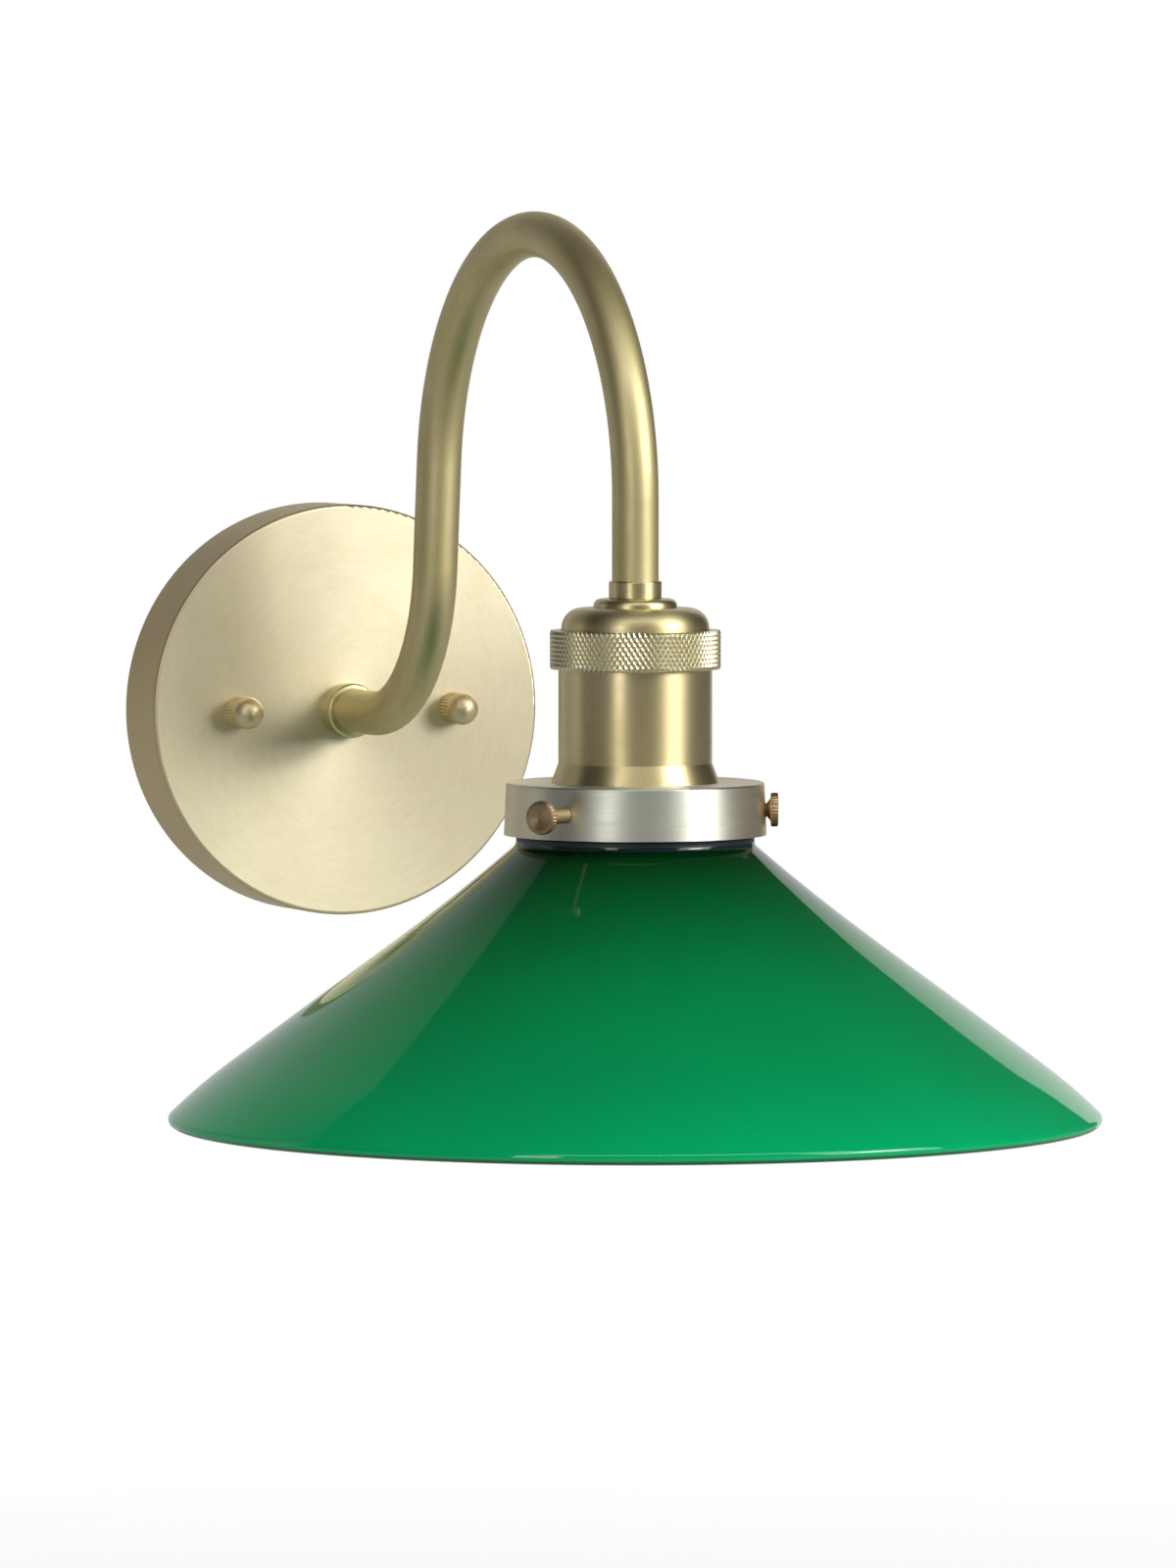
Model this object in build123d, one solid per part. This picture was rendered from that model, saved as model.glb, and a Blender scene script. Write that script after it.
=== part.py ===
from build123d import *
import math
import os

# A gooseneck wall sconce in millimetres. The origin is the centre of the canopy on the wall
# face. +X runs along the wall, the sconce stands out from the wall towards -Y, and +Z is up.

# Clearances
thread_clearance = 0.05
sliding_clearance = 0.1
hole_clearance = 0.3
edge_break = 0.3

# Canopy: a drawn brass pan on the wall
canopy_diameter = 119.0
canopy_depth = 23.3
canopy_wall = 1.2
canopy_edge_radius = 1.0

# Fixing strap across the wall box, behind the canopy
strap_length = 104.0
strap_width = 19.0
strap_thickness = 2.2
strap_corner_radius = 2.5
strap_centre_hole_diameter = 10.5
box_screw_spacing = 88.9
box_slot_length = 9.0
box_slot_width = 4.6

# Ground screw in the strap
ground_screw_offset = 17.0
ground_screw_diameter = 4.1
ground_washer_diameter = 8.2
ground_washer_thickness = 0.75
ground_head_across_flats = 6.4
ground_head_height = 2.3

# Canopy studs, their lock nuts and the knurled cap nuts
stud_spacing = 66.7
stud_diameter = 4.1
stud_end_recess = 0.3
stud_reach = 8.0
stud_nut_across_flats = 8.7
stud_nut_height = 3.2
cap_nut_base_diameter = 9.1
cap_nut_base_height = 5.4
cap_nut_ball_diameter = 9.4
cap_nut_ball_height = 6.8
cap_nut_teeth = 28
knurl_depth = 0.3

# Arm: one bent tube in the plane X = 0
arm_diameter = 12.7
arm_wall = 1.2
reach = 237.3
first_straight = 21.8
low_bend_radius = 47.1
leg_lean = 5.6
leg_length = 31.5
drop_length = 22.4

# Arm collar on the canopy
arm_collar_diameter = 15.8
arm_collar_height = 6.0
arm_collar_floor = 2.0
arm_collar_rounding = 1.1

# Threaded nipples at both ends of the arm
nipple_diameter = 10.0
nipple_bore = 7.0
nipple_grip = 10.0
arm_nipple_tail = 8.5
socket_nipple_tail = 5.0
lock_nut_across_flats = 14.0
lock_nut_height = 3.0
washer_diameter = 16.0
washer_thickness = 1.0
bushing_flange = 1.2
bushing_depth = 3.0
bushing_wall = 0.3

# Neck collar, seat ring and domed cap on the socket
neck_collar_diameter = 14.4
neck_collar_height = 4.75
neck_collar_floor = 1.75
neck_collar_rounding = 0.5
seat_ring_diameter = 22.8
seat_ring_height = 2.5
seat_ring_rounding = 2.0
cap_diameter = 40.2
cap_wall = 1.2
cap_rise = 6.1
cap_shoulder_radius = 5.5
cap_flange_thickness = 1.4

# Knurled ring that clamps the cap to the shell
ring_diameter = 46.4
ring_height = 10.5
ring_lip_thickness = 1.2
ring_edge_rounding = 0.6

# Socket shell with its thread at the top and its flared skirt at the mouth
shell_diameter = 41.8
shell_wall = 1.2
shell_thread_height = 0.2
shell_exposed_length = 30.8
skirt_diameter = 45.8
skirt_height = 5.3

# Socket insulator
shoulder_thickness = 1.3
recess_diameter = 34.6
recess_depth = 6.5
recess_rounding = 0.5
floor_thickness = 6.0
sleeve_diameter = 37.8
sleeve_below_plate = 6.3

# Screw shell for the lamp
lamp_thread_diameter = 26.4
lamp_thread_length = 20.0
screw_shell_wall = 0.4
screw_shell_inset = 3.0
screw_shell_throat_diameter = 25.6
screw_shell_hole_diameter = 16.0

# Contact spring, terminals and rivets
contact_thickness = 0.6
contact_width = 5.0
contact_drop = 3.6
contact_end = 3.5
terminal_thickness = 0.8
terminal_width = 6.0
terminal_inner_edge = 2.6
terminal_outer_edge = 15.6
terminal_screw_offset = 12.0
terminal_screw_diameter = 3.4
terminal_screw_depth = 4.5
terminal_head_diameter = 6.0
terminal_head_height = 2.0
contact_rivet_offset = 4.5
shell_rivet_offset = (8.9, 5.6)
rivet_diameter = 2.4
rivet_head_diameter = 3.6
rivet_head_height = 0.7

# Leads and their twist-on connectors
lead_diameter = 2.2
lead_spread = 1.3
lead_bend_radius = 5.0
lead_terminal_offset = 7.6
lead_slant_top = 1.2
lead_slant_bottom = 2.4
lead_bend_share = 0.9
connector_diameter = 10.4
connector_tip_diameter = 6.0
connector_length = 17.0
connector_start = 14.0
connector_grip = 9.0
connector_tip_rounding = 1.0

# Shade holder: a shallow cup with tapped collars for the thumb screws
holder_mouth_diameter = 71.4
holder_top_diameter = 70.2
holder_height = 14.2
holder_wall = 1.3
holder_edge_rounding = 0.6
tapped_collar_diameter = 6.8
tapped_collar_depth = 1.5

# Ring nut that clamps the holder to the shell
ring_nut_diameter = 45.0
ring_nut_height = 3.2
ring_nut_notches = 6
ring_nut_notch_width = 3.0
ring_nut_notch_depth = 1.2

# Thumb screws: direction of each about the shade's axis, in degrees from +X, and shank length
thumb_screws = {
    "thumb_screw_front": (-145.0, 19.05),
    "thumb_screw_side": (-25.0, 9.55),
    "thumb_screw_back": (95.0, 9.55),
}
thumb_screw_drop = 7.4
thumb_screw_diameter = 4.1
thumb_screw_tip_gap = 0.05
thumb_head_diameter = 9.2
thumb_head_thickness = 2.0
thumb_head_dish = 0.4
thumb_head_teeth = 32
thumb_root_diameter = 6.4
thumb_root_height = 0.9
thumb_tip_chamfer = 0.5

# Glass shade: lip, neck, shoulder, concave flare, straight cone, convex fall to a rolled rim
shade_diameter = 254.0
shade_glass = 3.6
lip_diameter = 57.15
lip_top_gap = 1.0
lip_rounding = 1.0
neck_diameter = 54.4
neck_below_screws = 1.5
neck_fillet_radius = 1.0
neck_inner_fillet_radius = 5.1
shoulder_diameter = 64.8
shoulder_gap = 0.5
shoulder_height = 1.05
shoulder_rounding = 0.5
waist_fillet_radius = 2.5
flare_radius = 550.0
flare_angle = 40.7
cone_angle = 36.4
fall_radius = 154.2
rim_angle = 44.2

# Radii
canopy_radius = canopy_diameter / 2
stud_radius = stud_diameter / 2
arm_radius = arm_diameter / 2
nipple_radius = nipple_diameter / 2
nipple_hole_radius = nipple_radius + sliding_clearance
cap_radius = cap_diameter / 2
shell_radius = shell_diameter / 2
flange_radius = shell_radius + shell_thread_height
ring_bore_radius = flange_radius + sliding_clearance
sleeve_radius = sleeve_diameter / 2
insulator_radius = shell_radius - shell_wall - 2 * sliding_clearance
lead_radius = lead_diameter / 2
neck_radius = neck_diameter / 2
shoulder_radius = shoulder_diameter / 2
thumb_screw_radius = thumb_screw_diameter / 2

# Arm path: the arch spans what the first straight, the low bend and the leg leave of the reach
lean = math.radians(leg_lean)
low_bend_reach = low_bend_radius * math.cos(lean)
leg_reach = leg_length * math.sin(lean)
arch_reach = reach - canopy_depth - first_straight - low_bend_reach - leg_reach
arch_radius = arch_reach / (1 + math.cos(lean))
low_bend_rise = low_bend_radius * (1 - math.sin(lean))
leg_rise = leg_length * math.cos(lean)
arch_centre_z = low_bend_rise + leg_rise - arch_radius * math.sin(lean)
arm_start = canopy_depth + arm_collar_floor

# Heights down the socket
neck_top = arch_centre_z - drop_length
seat_top = neck_top - neck_collar_height
arm_end_z = seat_top + neck_collar_floor
cap_top = seat_top - seat_ring_height
ring_top = cap_top - cap_rise
ring_bottom = ring_top - ring_height
flange_top = ring_top - ring_lip_thickness
flange_bottom = flange_top - cap_flange_thickness
shell_top = flange_bottom - shoulder_thickness
shell_mouth = ring_bottom - shell_exposed_length
recess_floor = flange_bottom - recess_depth
lamp_chamber_top = recess_floor - floor_thickness
plate_underside = shell_mouth - holder_wall
sleeve_bottom = plate_underside - sleeve_below_plate
screw_shell_mouth = sleeve_bottom + screw_shell_inset
holder_bottom = shell_mouth - holder_height
thumb_screw_z = shell_mouth - thumb_screw_drop

# Axes: out of the wall, and down through socket and shade (heights there are real Z)
outward = Plane((0, 0, 0), x_dir=(1, 0, 0), z_dir=(0, -1, 0))
socket_axis = Plane((0, -reach, 0))
on_base = (Align.CENTER, Align.CENTER, Align.MIN)
stud_places = {
    "left": outward * Pos(-stud_spacing / 2, 0, 0),
    "right": outward * Pos(stud_spacing / 2, 0, 0),
}


def turned(corners, place=Plane.XY):
    """Turn a half outline about the Z axis of place. Each corner is (radius, height, rounding)."""
    points = [(radius, height) for radius, height, rounding in corners]
    roundings = [rounding for radius, height, rounding in corners]
    outline = FilletPolyline(*points, radius=roundings, close=True)
    return place * revolve(Plane.XZ * make_face(outline.edges()), Axis.Z)


def rod(radius, bottom, top, place=Plane.XY):
    """A plain cylinder on the Z axis of place."""
    return place * Pos(0, 0, bottom) * Cylinder(radius, top - bottom, align=on_base)


def pipe(outer_radius, inner_radius, bottom, top, place=Plane.XY):
    """A plain tube on the Z axis of place."""
    return rod(outer_radius, bottom, top, place) - rod(inner_radius, bottom, top, place)


def straight_knurled(radius, teeth, bottom, top):
    """A bar with pointed teeth along its length, such as a straight knurl leaves."""
    points = []
    for index in range(2 * teeth):
        angle = math.pi * index / teeth
        tooth = radius - knurl_depth * (index % 2)
        points.append((tooth * math.cos(angle), tooth * math.sin(angle)))
    star = make_face(Polyline(*points, close=True).edges())
    return Pos(0, 0, bottom) * extrude(star, top - bottom)


def hexagon_nut(across_flats, bottom, height, bore_radius, place):
    """A hexagon nut whose corners are turned down at both faces."""
    flat_radius = across_flats / 2
    corner_radius = across_flats / math.sqrt(3)
    bevel = (corner_radius - flat_radius) / 2
    top = bottom + height
    hexagon = RegularPolygon(flat_radius, 6, major_radius=False)
    prism = Pos(0, 0, bottom) * extrude(hexagon, height)
    bevelled = turned([
        (bore_radius, bottom, 0),
        (flat_radius, bottom, 0),
        (corner_radius, bottom + bevel, 0),
        (corner_radius, top - bevel, 0),
        (flat_radius, top, 0),
        (bore_radius, top, 0),
    ])
    return place * (prism & bevelled)


# Wall canopy: the pan has a hole for the arm's nipple and one for each stud.
def wall_canopy():
    inner_radius = canopy_radius - canopy_wall
    inner_face = canopy_depth - canopy_wall
    pan = turned([
        (nipple_hole_radius, canopy_depth, 0),
        (canopy_radius, canopy_depth, canopy_edge_radius),
        (canopy_radius, 0, 0),
        (inner_radius, 0, 0),
        (inner_radius, inner_face, canopy_edge_radius / 2),
        (nipple_hole_radius, inner_face, 0),
    ], outward)
    for place in stud_places.values():
        pan -= rod(stud_radius + hole_clearance, 0, canopy_depth, place)
    return pan


# Fixing strap: flat steel with a slot at each end for the wall box's screws.
def fixing_strap():
    blank = RectangleRounded(strap_length, strap_width, strap_corner_radius)
    blank -= Circle(strap_centre_hole_diameter / 2)
    for side in (-1, 1):
        slot = SlotOverall(box_slot_length, box_slot_width)
        blank -= Pos(side * box_screw_spacing / 2, 0) * slot
        blank -= Pos(side * stud_spacing / 2, 0) * Circle(stud_radius + thread_clearance)
    ground_hole = Circle(ground_screw_diameter / 2 + thread_clearance)
    blank -= Pos(ground_screw_offset, 0) * ground_hole
    return outward * extrude(blank, strap_thickness)


# Ground screw: a hexagon head with a washer face, down to the strap's wall side.
def ground_screw():
    place = outward * Pos(ground_screw_offset, 0, 0)
    head_bottom = strap_thickness + ground_washer_thickness
    shank = rod(ground_screw_diameter / 2, stud_end_recess, strap_thickness, place)
    washer = rod(ground_washer_diameter / 2, strap_thickness, head_bottom, place)
    hexagon = RegularPolygon(ground_head_across_flats / 2, 6, major_radius=False)
    head = Pos(0, 0, head_bottom) * extrude(hexagon, ground_head_height)
    return shank + washer + place * head


# Canopy studs, each locked to the strap by a hexagon nut.
def canopy_studs():
    top = canopy_depth + stud_reach
    return Compound([rod(stud_radius, stud_end_recess, top, place) for place in stud_places.values()])


def stud_lock_nuts():
    bore = stud_radius + thread_clearance
    nuts = []
    for place in stud_places.values():
        nuts.append(hexagon_nut(stud_nut_across_flats, strap_thickness, stud_nut_height, bore, place))
    return Compound(nuts)


# Cap nut: knurled base, ball end, and a blind thread over the stud's end.
def cap_nut(place):
    base_radius = cap_nut_base_diameter / 2
    envelope = turned([
        (0, canopy_depth, 0),
        (base_radius - knurl_depth, canopy_depth, 0),
        (base_radius, canopy_depth + knurl_depth, 0),
        (base_radius, canopy_depth + cap_nut_base_height - knurl_depth, 0),
        (base_radius - knurl_depth, canopy_depth + cap_nut_base_height, 0),
        (0, canopy_depth + cap_nut_base_height, 0),
    ])
    base = straight_knurled(base_radius, cap_nut_teeth, canopy_depth, canopy_depth + cap_nut_base_height)
    ball = Pos(0, 0, canopy_depth + cap_nut_ball_height) * Sphere(cap_nut_ball_diameter / 2)
    base_middle = canopy_depth + cap_nut_base_height / 2
    below = rod(cap_nut_ball_diameter, canopy_depth - cap_nut_ball_diameter, base_middle)
    bore_top = canopy_depth + stud_reach + hole_clearance
    bore = rod(stud_radius + thread_clearance, canopy_depth, bore_top)
    return place * ((base & envelope) + (ball - below) - bore)


# Arm: straight out of the canopy, a low bend, the leaning leg, the arch and the drop.
def arm_edges(offset, start, end_z):
    """The arm's centre line in the plane X = offset, from start out of the wall to end_z."""
    side = Plane((offset, 0, 0), x_dir=(0, 1, 0), z_dir=(1, 0, 0))
    bend_start = canopy_depth + first_straight
    out = Line((-start, 0), (-bend_start, 0))
    low_bend = JernArc(out @ 1, out % 1, low_bend_radius, leg_lean - 90)
    leg = Line(low_bend @ 1, low_bend @ 1 + (low_bend % 1) * leg_length)
    arch = JernArc(leg @ 1, leg % 1, arch_radius, 180 - leg_lean)
    drop = Line(arch @ 1, (-reach, end_z))
    path = [out, low_bend, leg, arch, drop]
    return [side * edge for line in path for edge in line.edges()]


def arm_tube():
    path = Wire(arm_edges(0, arm_start, arm_end_z))
    section = outward * Pos(0, 0, arm_start) * (Circle(arm_radius) - Circle(arm_radius - arm_wall))
    return sweep(section, path=path)


# Arm collar: the tube's end sits in its front recess, the nipple runs through its floor.
def arm_collar():
    front = canopy_depth + arm_collar_height
    seat_radius = arm_radius + thread_clearance
    return turned([
        (nipple_hole_radius, canopy_depth, 0),
        (arm_collar_diameter / 2, canopy_depth, 0),
        (arm_collar_diameter / 2, front, arm_collar_rounding),
        (seat_radius, front, 0),
        (seat_radius, arm_start, 0),
        (nipple_hole_radius, arm_start, 0),
    ], outward)


# Arm nipple with its lock washer, lock nut and insulating bushing inside the canopy.
inner_face = canopy_depth - canopy_wall
arm_nipple_end = inner_face - arm_nipple_tail
bushing_end = arm_nipple_end - bushing_flange


def arm_nipple():
    return pipe(nipple_radius, nipple_bore / 2, arm_nipple_end, arm_start + nipple_grip, outward)


def lock_washer():
    return pipe(washer_diameter / 2, nipple_hole_radius, inner_face - washer_thickness, inner_face, outward)


def arm_lock_nut():
    bottom = inner_face - washer_thickness - lock_nut_height
    bore = nipple_radius + thread_clearance
    return hexagon_nut(lock_nut_across_flats, bottom, lock_nut_height, bore, outward)


def nipple_bushing():
    outer = nipple_bore / 2 - thread_clearance
    return turned([
        (outer - bushing_wall, bushing_end, 0),
        (nipple_radius, bushing_end, edge_break),
        (nipple_radius, arm_nipple_end, 0),
        (outer, arm_nipple_end, 0),
        (outer, arm_nipple_end + bushing_depth, 0),
        (outer - bushing_wall, arm_nipple_end + bushing_depth, 0),
    ], outward)


# Neck collar and seat ring between the arm's end and the cap.
def neck_collar():
    seat_radius = arm_radius + thread_clearance
    return turned([
        (nipple_hole_radius, seat_top, 0),
        (neck_collar_diameter / 2, seat_top, edge_break),
        (neck_collar_diameter / 2, neck_top, neck_collar_rounding),
        (seat_radius, neck_top, 0),
        (seat_radius, arm_end_z, 0),
        (nipple_hole_radius, arm_end_z, 0),
    ], socket_axis)


def seat_ring():
    return turned([
        (nipple_hole_radius, cap_top, 0),
        (seat_ring_diameter / 2, cap_top, 0),
        (seat_ring_diameter / 2, seat_top, seat_ring_rounding),
        (nipple_hole_radius, seat_top, 0),
    ], socket_axis)


socket_nipple_bottom = cap_top - cap_wall - socket_nipple_tail


def socket_nipple():
    return pipe(nipple_radius, nipple_bore / 2, socket_nipple_bottom, arm_end_z + nipple_grip, socket_axis)


def cap_lock_nut():
    bottom = cap_top - cap_wall - lock_nut_height
    bore = nipple_radius + thread_clearance
    return hexagon_nut(lock_nut_across_flats, bottom, lock_nut_height, bore, socket_axis)


# Socket cap: a spun dome whose flange is clamped under the knurled ring's lip.
def socket_cap():
    inner_radius = cap_radius - cap_wall
    underside = cap_top - cap_wall
    return turned([
        (nipple_hole_radius, cap_top, 0),
        (cap_radius, cap_top, cap_shoulder_radius),
        (cap_radius, flange_top, 0),
        (flange_radius, flange_top, 0),
        (flange_radius, flange_bottom, 0),
        (inner_radius, flange_bottom, 0),
        (inner_radius, underside, cap_shoulder_radius - cap_wall),
        (nipple_hole_radius, underside, 0),
    ], socket_axis)


def knurled_ring():
    radius = ring_diameter / 2
    lip_radius = cap_radius + 2 * sliding_clearance
    return turned([
        (lip_radius, ring_top, 0),
        (radius, ring_top, ring_edge_rounding),
        (radius, ring_bottom, ring_edge_rounding),
        (ring_bore_radius, ring_bottom, 0),
        (ring_bore_radius, flange_top, 0),
        (lip_radius, flange_top, 0),
    ], socket_axis)


# Socket shell: thread band under the ring, plain sleeve, flared skirt at the mouth.
def socket_shell():
    thread_end = ring_bottom + shell_wall
    skirt_top = shell_mouth + skirt_height
    inner_radius = shell_radius - shell_wall
    return turned([
        (inner_radius, shell_top, 0),
        (flange_radius, shell_top, 0),
        (flange_radius, thread_end, 0),
        (shell_radius, thread_end, 0),
        (shell_radius, skirt_top, 0),
        (skirt_diameter / 2, shell_mouth, 0),
        (skirt_diameter / 2 - shell_wall, shell_mouth, 0),
        (inner_radius, skirt_top, 0),
    ], socket_axis)


# Socket insulator: wiring recess above, lamp chamber below, threaded sleeve at the bottom.
hot_screw_place = socket_axis * Pos(-terminal_screw_offset, 0, 0)
neutral_screw_place = socket_axis * Pos(terminal_screw_offset, 0, 0)
contact_rivet_place = socket_axis * Pos(-contact_rivet_offset, 0, 0)
shell_rivet_place = socket_axis * Pos(*shell_rivet_offset, 0)
rivet_hole_radius = rivet_diameter / 2 + thread_clearance
terminal_top = recess_floor + terminal_thickness


def socket_insulator():
    chamber_radius = lamp_thread_diameter / 2 + screw_shell_wall + sliding_clearance
    body = turned([
        (0, recess_floor, 0),
        (recess_diameter / 2, recess_floor, recess_rounding),
        (recess_diameter / 2, flange_bottom, 0),
        (shell_radius, flange_bottom, 0),
        (shell_radius, shell_top, 0),
        (insulator_radius, shell_top, 0),
        (insulator_radius, shell_mouth, 0),
        (sleeve_radius, shell_mouth, 0),
        (sleeve_radius, sleeve_bottom, edge_break),
        (chamber_radius, sleeve_bottom, 0),
        (chamber_radius, lamp_chamber_top, 0),
        (0, lamp_chamber_top, 0),
    ], socket_axis)
    screw_hole_bottom = recess_floor - terminal_screw_depth
    for place in (hot_screw_place, neutral_screw_place):
        body -= rod(terminal_screw_diameter / 2 + thread_clearance, screw_hole_bottom, recess_floor, place)
    for place in (contact_rivet_place, shell_rivet_place):
        body -= rod(rivet_hole_radius, lamp_chamber_top, recess_floor, place)
    return body


# Screw shell: thin threaded liner with a narrower throat, riveted to the insulator's floor.
def screw_shell():
    bore_radius = lamp_thread_diameter / 2
    throat_radius = screw_shell_throat_diameter / 2
    thread_top = screw_shell_mouth + lamp_thread_length
    liner = turned([
        (screw_shell_hole_diameter / 2, lamp_chamber_top, 0),
        (throat_radius + screw_shell_wall, lamp_chamber_top, 0),
        (throat_radius + screw_shell_wall, thread_top + screw_shell_wall, 0),
        (bore_radius + screw_shell_wall, thread_top + screw_shell_wall, 0),
        (bore_radius + screw_shell_wall, screw_shell_mouth, 0),
        (bore_radius, screw_shell_mouth, 0),
        (bore_radius, thread_top, 0),
        (throat_radius, thread_top, 0),
        (throat_radius, lamp_chamber_top - screw_shell_wall, 0),
        (screw_shell_hole_diameter / 2, lamp_chamber_top - screw_shell_wall, 0),
    ], socket_axis)
    liner_top = lamp_chamber_top - screw_shell_wall
    return liner - rod(rivet_hole_radius, liner_top, lamp_chamber_top, shell_rivet_place)


# Centre contact: a sprung strip, flat under its rivet and bent down to the lamp's tip.
def centre_contact():
    flat_end = contact_rivet_offset - rivet_head_diameter
    tongue_z = lamp_chamber_top - contact_drop
    upper = [
        (-contact_rivet_offset - contact_width / 2, lamp_chamber_top),
        (-flat_end, lamp_chamber_top),
        (contact_end / 2, tongue_z),
        (contact_end, tongue_z),
    ]
    lower = [(x, z - contact_thickness) for x, z in reversed(upper)]
    strip = Plane.XZ * make_face(Polyline(*upper, *lower, close=True).edges())
    spring = socket_axis * Pos(0, contact_width / 2, 0) * extrude(strip, contact_width)
    underside = lamp_chamber_top - contact_thickness
    return spring - rod(rivet_hole_radius, underside, lamp_chamber_top, contact_rivet_place)


# Terminal plates on the recess floor: the hot one at -X, the neutral one at +X.
def terminal_plate(side, rivet_place, extra_width):
    length = terminal_outer_edge - terminal_inner_edge
    middle = side * (terminal_outer_edge + terminal_inner_edge) / 2
    blank = Pos(middle, extra_width / 2) * Rectangle(length, terminal_width + extra_width)
    plate = socket_axis * Pos(0, 0, recess_floor) * extrude(blank, terminal_thickness)
    rim_radius = recess_diameter / 2 - recess_rounding - sliding_clearance
    rim = pipe(recess_diameter, rim_radius, recess_floor, terminal_top, socket_axis)
    screw_place = socket_axis * Pos(side * terminal_screw_offset, 0, 0)
    screw_hole = rod(terminal_screw_diameter / 2 + thread_clearance, recess_floor, terminal_top, screw_place)
    rivet_hole = rod(rivet_hole_radius, recess_floor, terminal_top, rivet_place)
    return plate - rim - screw_hole - rivet_hole


def terminal_plate_hot():
    return terminal_plate(-1, contact_rivet_place, 0)


def terminal_plate_neutral():
    return terminal_plate(1, shell_rivet_place, shell_rivet_offset[1] - rivet_diameter / 2)


def terminal_screws():
    screws = []
    for place in (hot_screw_place, neutral_screw_place):
        shank = rod(terminal_screw_diameter / 2, recess_floor - terminal_screw_depth, terminal_top, place)
        head = rod(terminal_head_diameter / 2, terminal_top, terminal_top + terminal_head_height, place)
        slot_floor = terminal_top + terminal_head_height / 2
        slot = Box(terminal_head_diameter, terminal_thickness, terminal_head_height, align=on_base)
        screws.append(shank + head - place * Pos(0, 0, slot_floor) * slot)
    return Compound(screws)


def socket_rivets():
    ends = [
        (contact_rivet_place, lamp_chamber_top - contact_thickness),
        (shell_rivet_place, lamp_chamber_top - screw_shell_wall),
    ]
    rivets = []
    for place, bottom in ends:
        stem = rod(rivet_diameter / 2, bottom, terminal_top, place)
        upper_head = rod(rivet_head_diameter / 2, terminal_top, terminal_top + rivet_head_height, place)
        lower_head = rod(rivet_head_diameter / 2, bottom - rivet_head_height, bottom, place)
        rivets.append(stem + upper_head + lower_head)
    return Compound(rivets)


# Leads: from a terminal up through both nipples and the arm, then up or down in the canopy.
lead_tail = bushing_end - lead_bend_radius


def lead_wire(side):
    offset = side * lead_spread
    tail_plane = Plane((offset, 0, 0), x_dir=(0, 1, 0), z_dir=(1, 0, 0))
    tail_start = (-lead_tail, side * (connector_start + connector_grip))
    tail = Line(tail_start, (-lead_tail, side * lead_bend_radius))
    bend = JernArc(tail @ 1, tail % 1, lead_bend_radius, -90 * side)
    slant_top = socket_nipple_bottom - lead_slant_top
    slant_bottom = terminal_top + lead_slant_bottom
    turn = math.atan2(lead_terminal_offset - lead_spread, slant_top - slant_bottom)
    bend_factor = lead_bend_share / math.tan(turn / 2)
    route = arm_edges(offset, bushing_end, socket_nipple_bottom)
    foot = FilletPolyline(
        (offset, socket_nipple_bottom),
        (offset, slant_top),
        (side * lead_terminal_offset, slant_bottom),
        (side * lead_terminal_offset, terminal_top),
        radius=[lead_slant_top * bend_factor, lead_slant_bottom * bend_factor],
    )
    edges = [tail_plane * edge for line in (tail, bend) for edge in line.edges()]
    edges += route
    edges += [socket_axis * Plane.XZ * edge for edge in foot.edges()]
    section = Plane((offset, -lead_tail, tail_start[1]), z_dir=(0, 0, -side)) * Circle(lead_radius)
    return sweep(section, path=Wire(edges))


def wire_connectors():
    caps = []
    for side in (-1, 1):
        place = Plane((side * lead_spread, -lead_tail, 0), z_dir=(0, 0, side))
        top = connector_start + connector_length
        body = turned([
            (0, connector_start, 0),
            (connector_diameter / 2, connector_start, edge_break),
            (connector_diameter / 2, connector_start + connector_length / 3, 0),
            (connector_tip_diameter / 2, top, connector_tip_rounding),
            (0, top, 0),
        ], place)
        bore = rod(lead_radius + thread_clearance, connector_start, connector_start + connector_grip, place)
        caps.append(body - bore)
    return Compound(caps)


# Shade holder: the cup's wall carries a tapped collar, drawn inwards, for each thumb screw.
def screw_place(angle):
    direction = (math.cos(math.radians(angle)), math.sin(math.radians(angle)), 0)
    return Plane((0, -reach, thumb_screw_z), x_dir=(0, 0, 1), z_dir=direction)


def shade_holder():
    top_radius = holder_top_diameter / 2
    mouth_radius = holder_mouth_diameter / 2
    centre_hole_radius = sleeve_radius + 2 * sliding_clearance
    cup = turned([
        (centre_hole_radius, shell_mouth, 0),
        (top_radius, shell_mouth, holder_edge_rounding),
        (mouth_radius, holder_bottom, 0),
        (mouth_radius - holder_wall, holder_bottom, 0),
        (top_radius - holder_wall, plate_underside, 0),
        (centre_hole_radius, plate_underside, 0),
    ], socket_axis)
    collar_tip = top_radius - holder_wall - tapped_collar_depth
    collar_root = top_radius - holder_wall / 2
    for angle, shank in thumb_screws.values():
        place = screw_place(angle)
        cup += rod(tapped_collar_diameter / 2, collar_tip, collar_root, place)
        cup -= rod(thumb_screw_radius + thread_clearance, collar_tip, mouth_radius, place)
    return cup


def holder_ring_nut():
    bottom = plate_underside - ring_nut_height
    radius = ring_nut_diameter / 2
    nut = pipe(radius, sleeve_radius + sliding_clearance, bottom, plate_underside, socket_axis)
    notch = Box(2 * ring_nut_notch_depth, ring_nut_notch_width, ring_nut_height, align=on_base)
    for index in range(ring_nut_notches):
        turn = Rot(0, 0, 360 * index / ring_nut_notches)
        nut -= socket_axis * turn * Pos(radius, 0, bottom) * notch
    return nut


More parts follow.
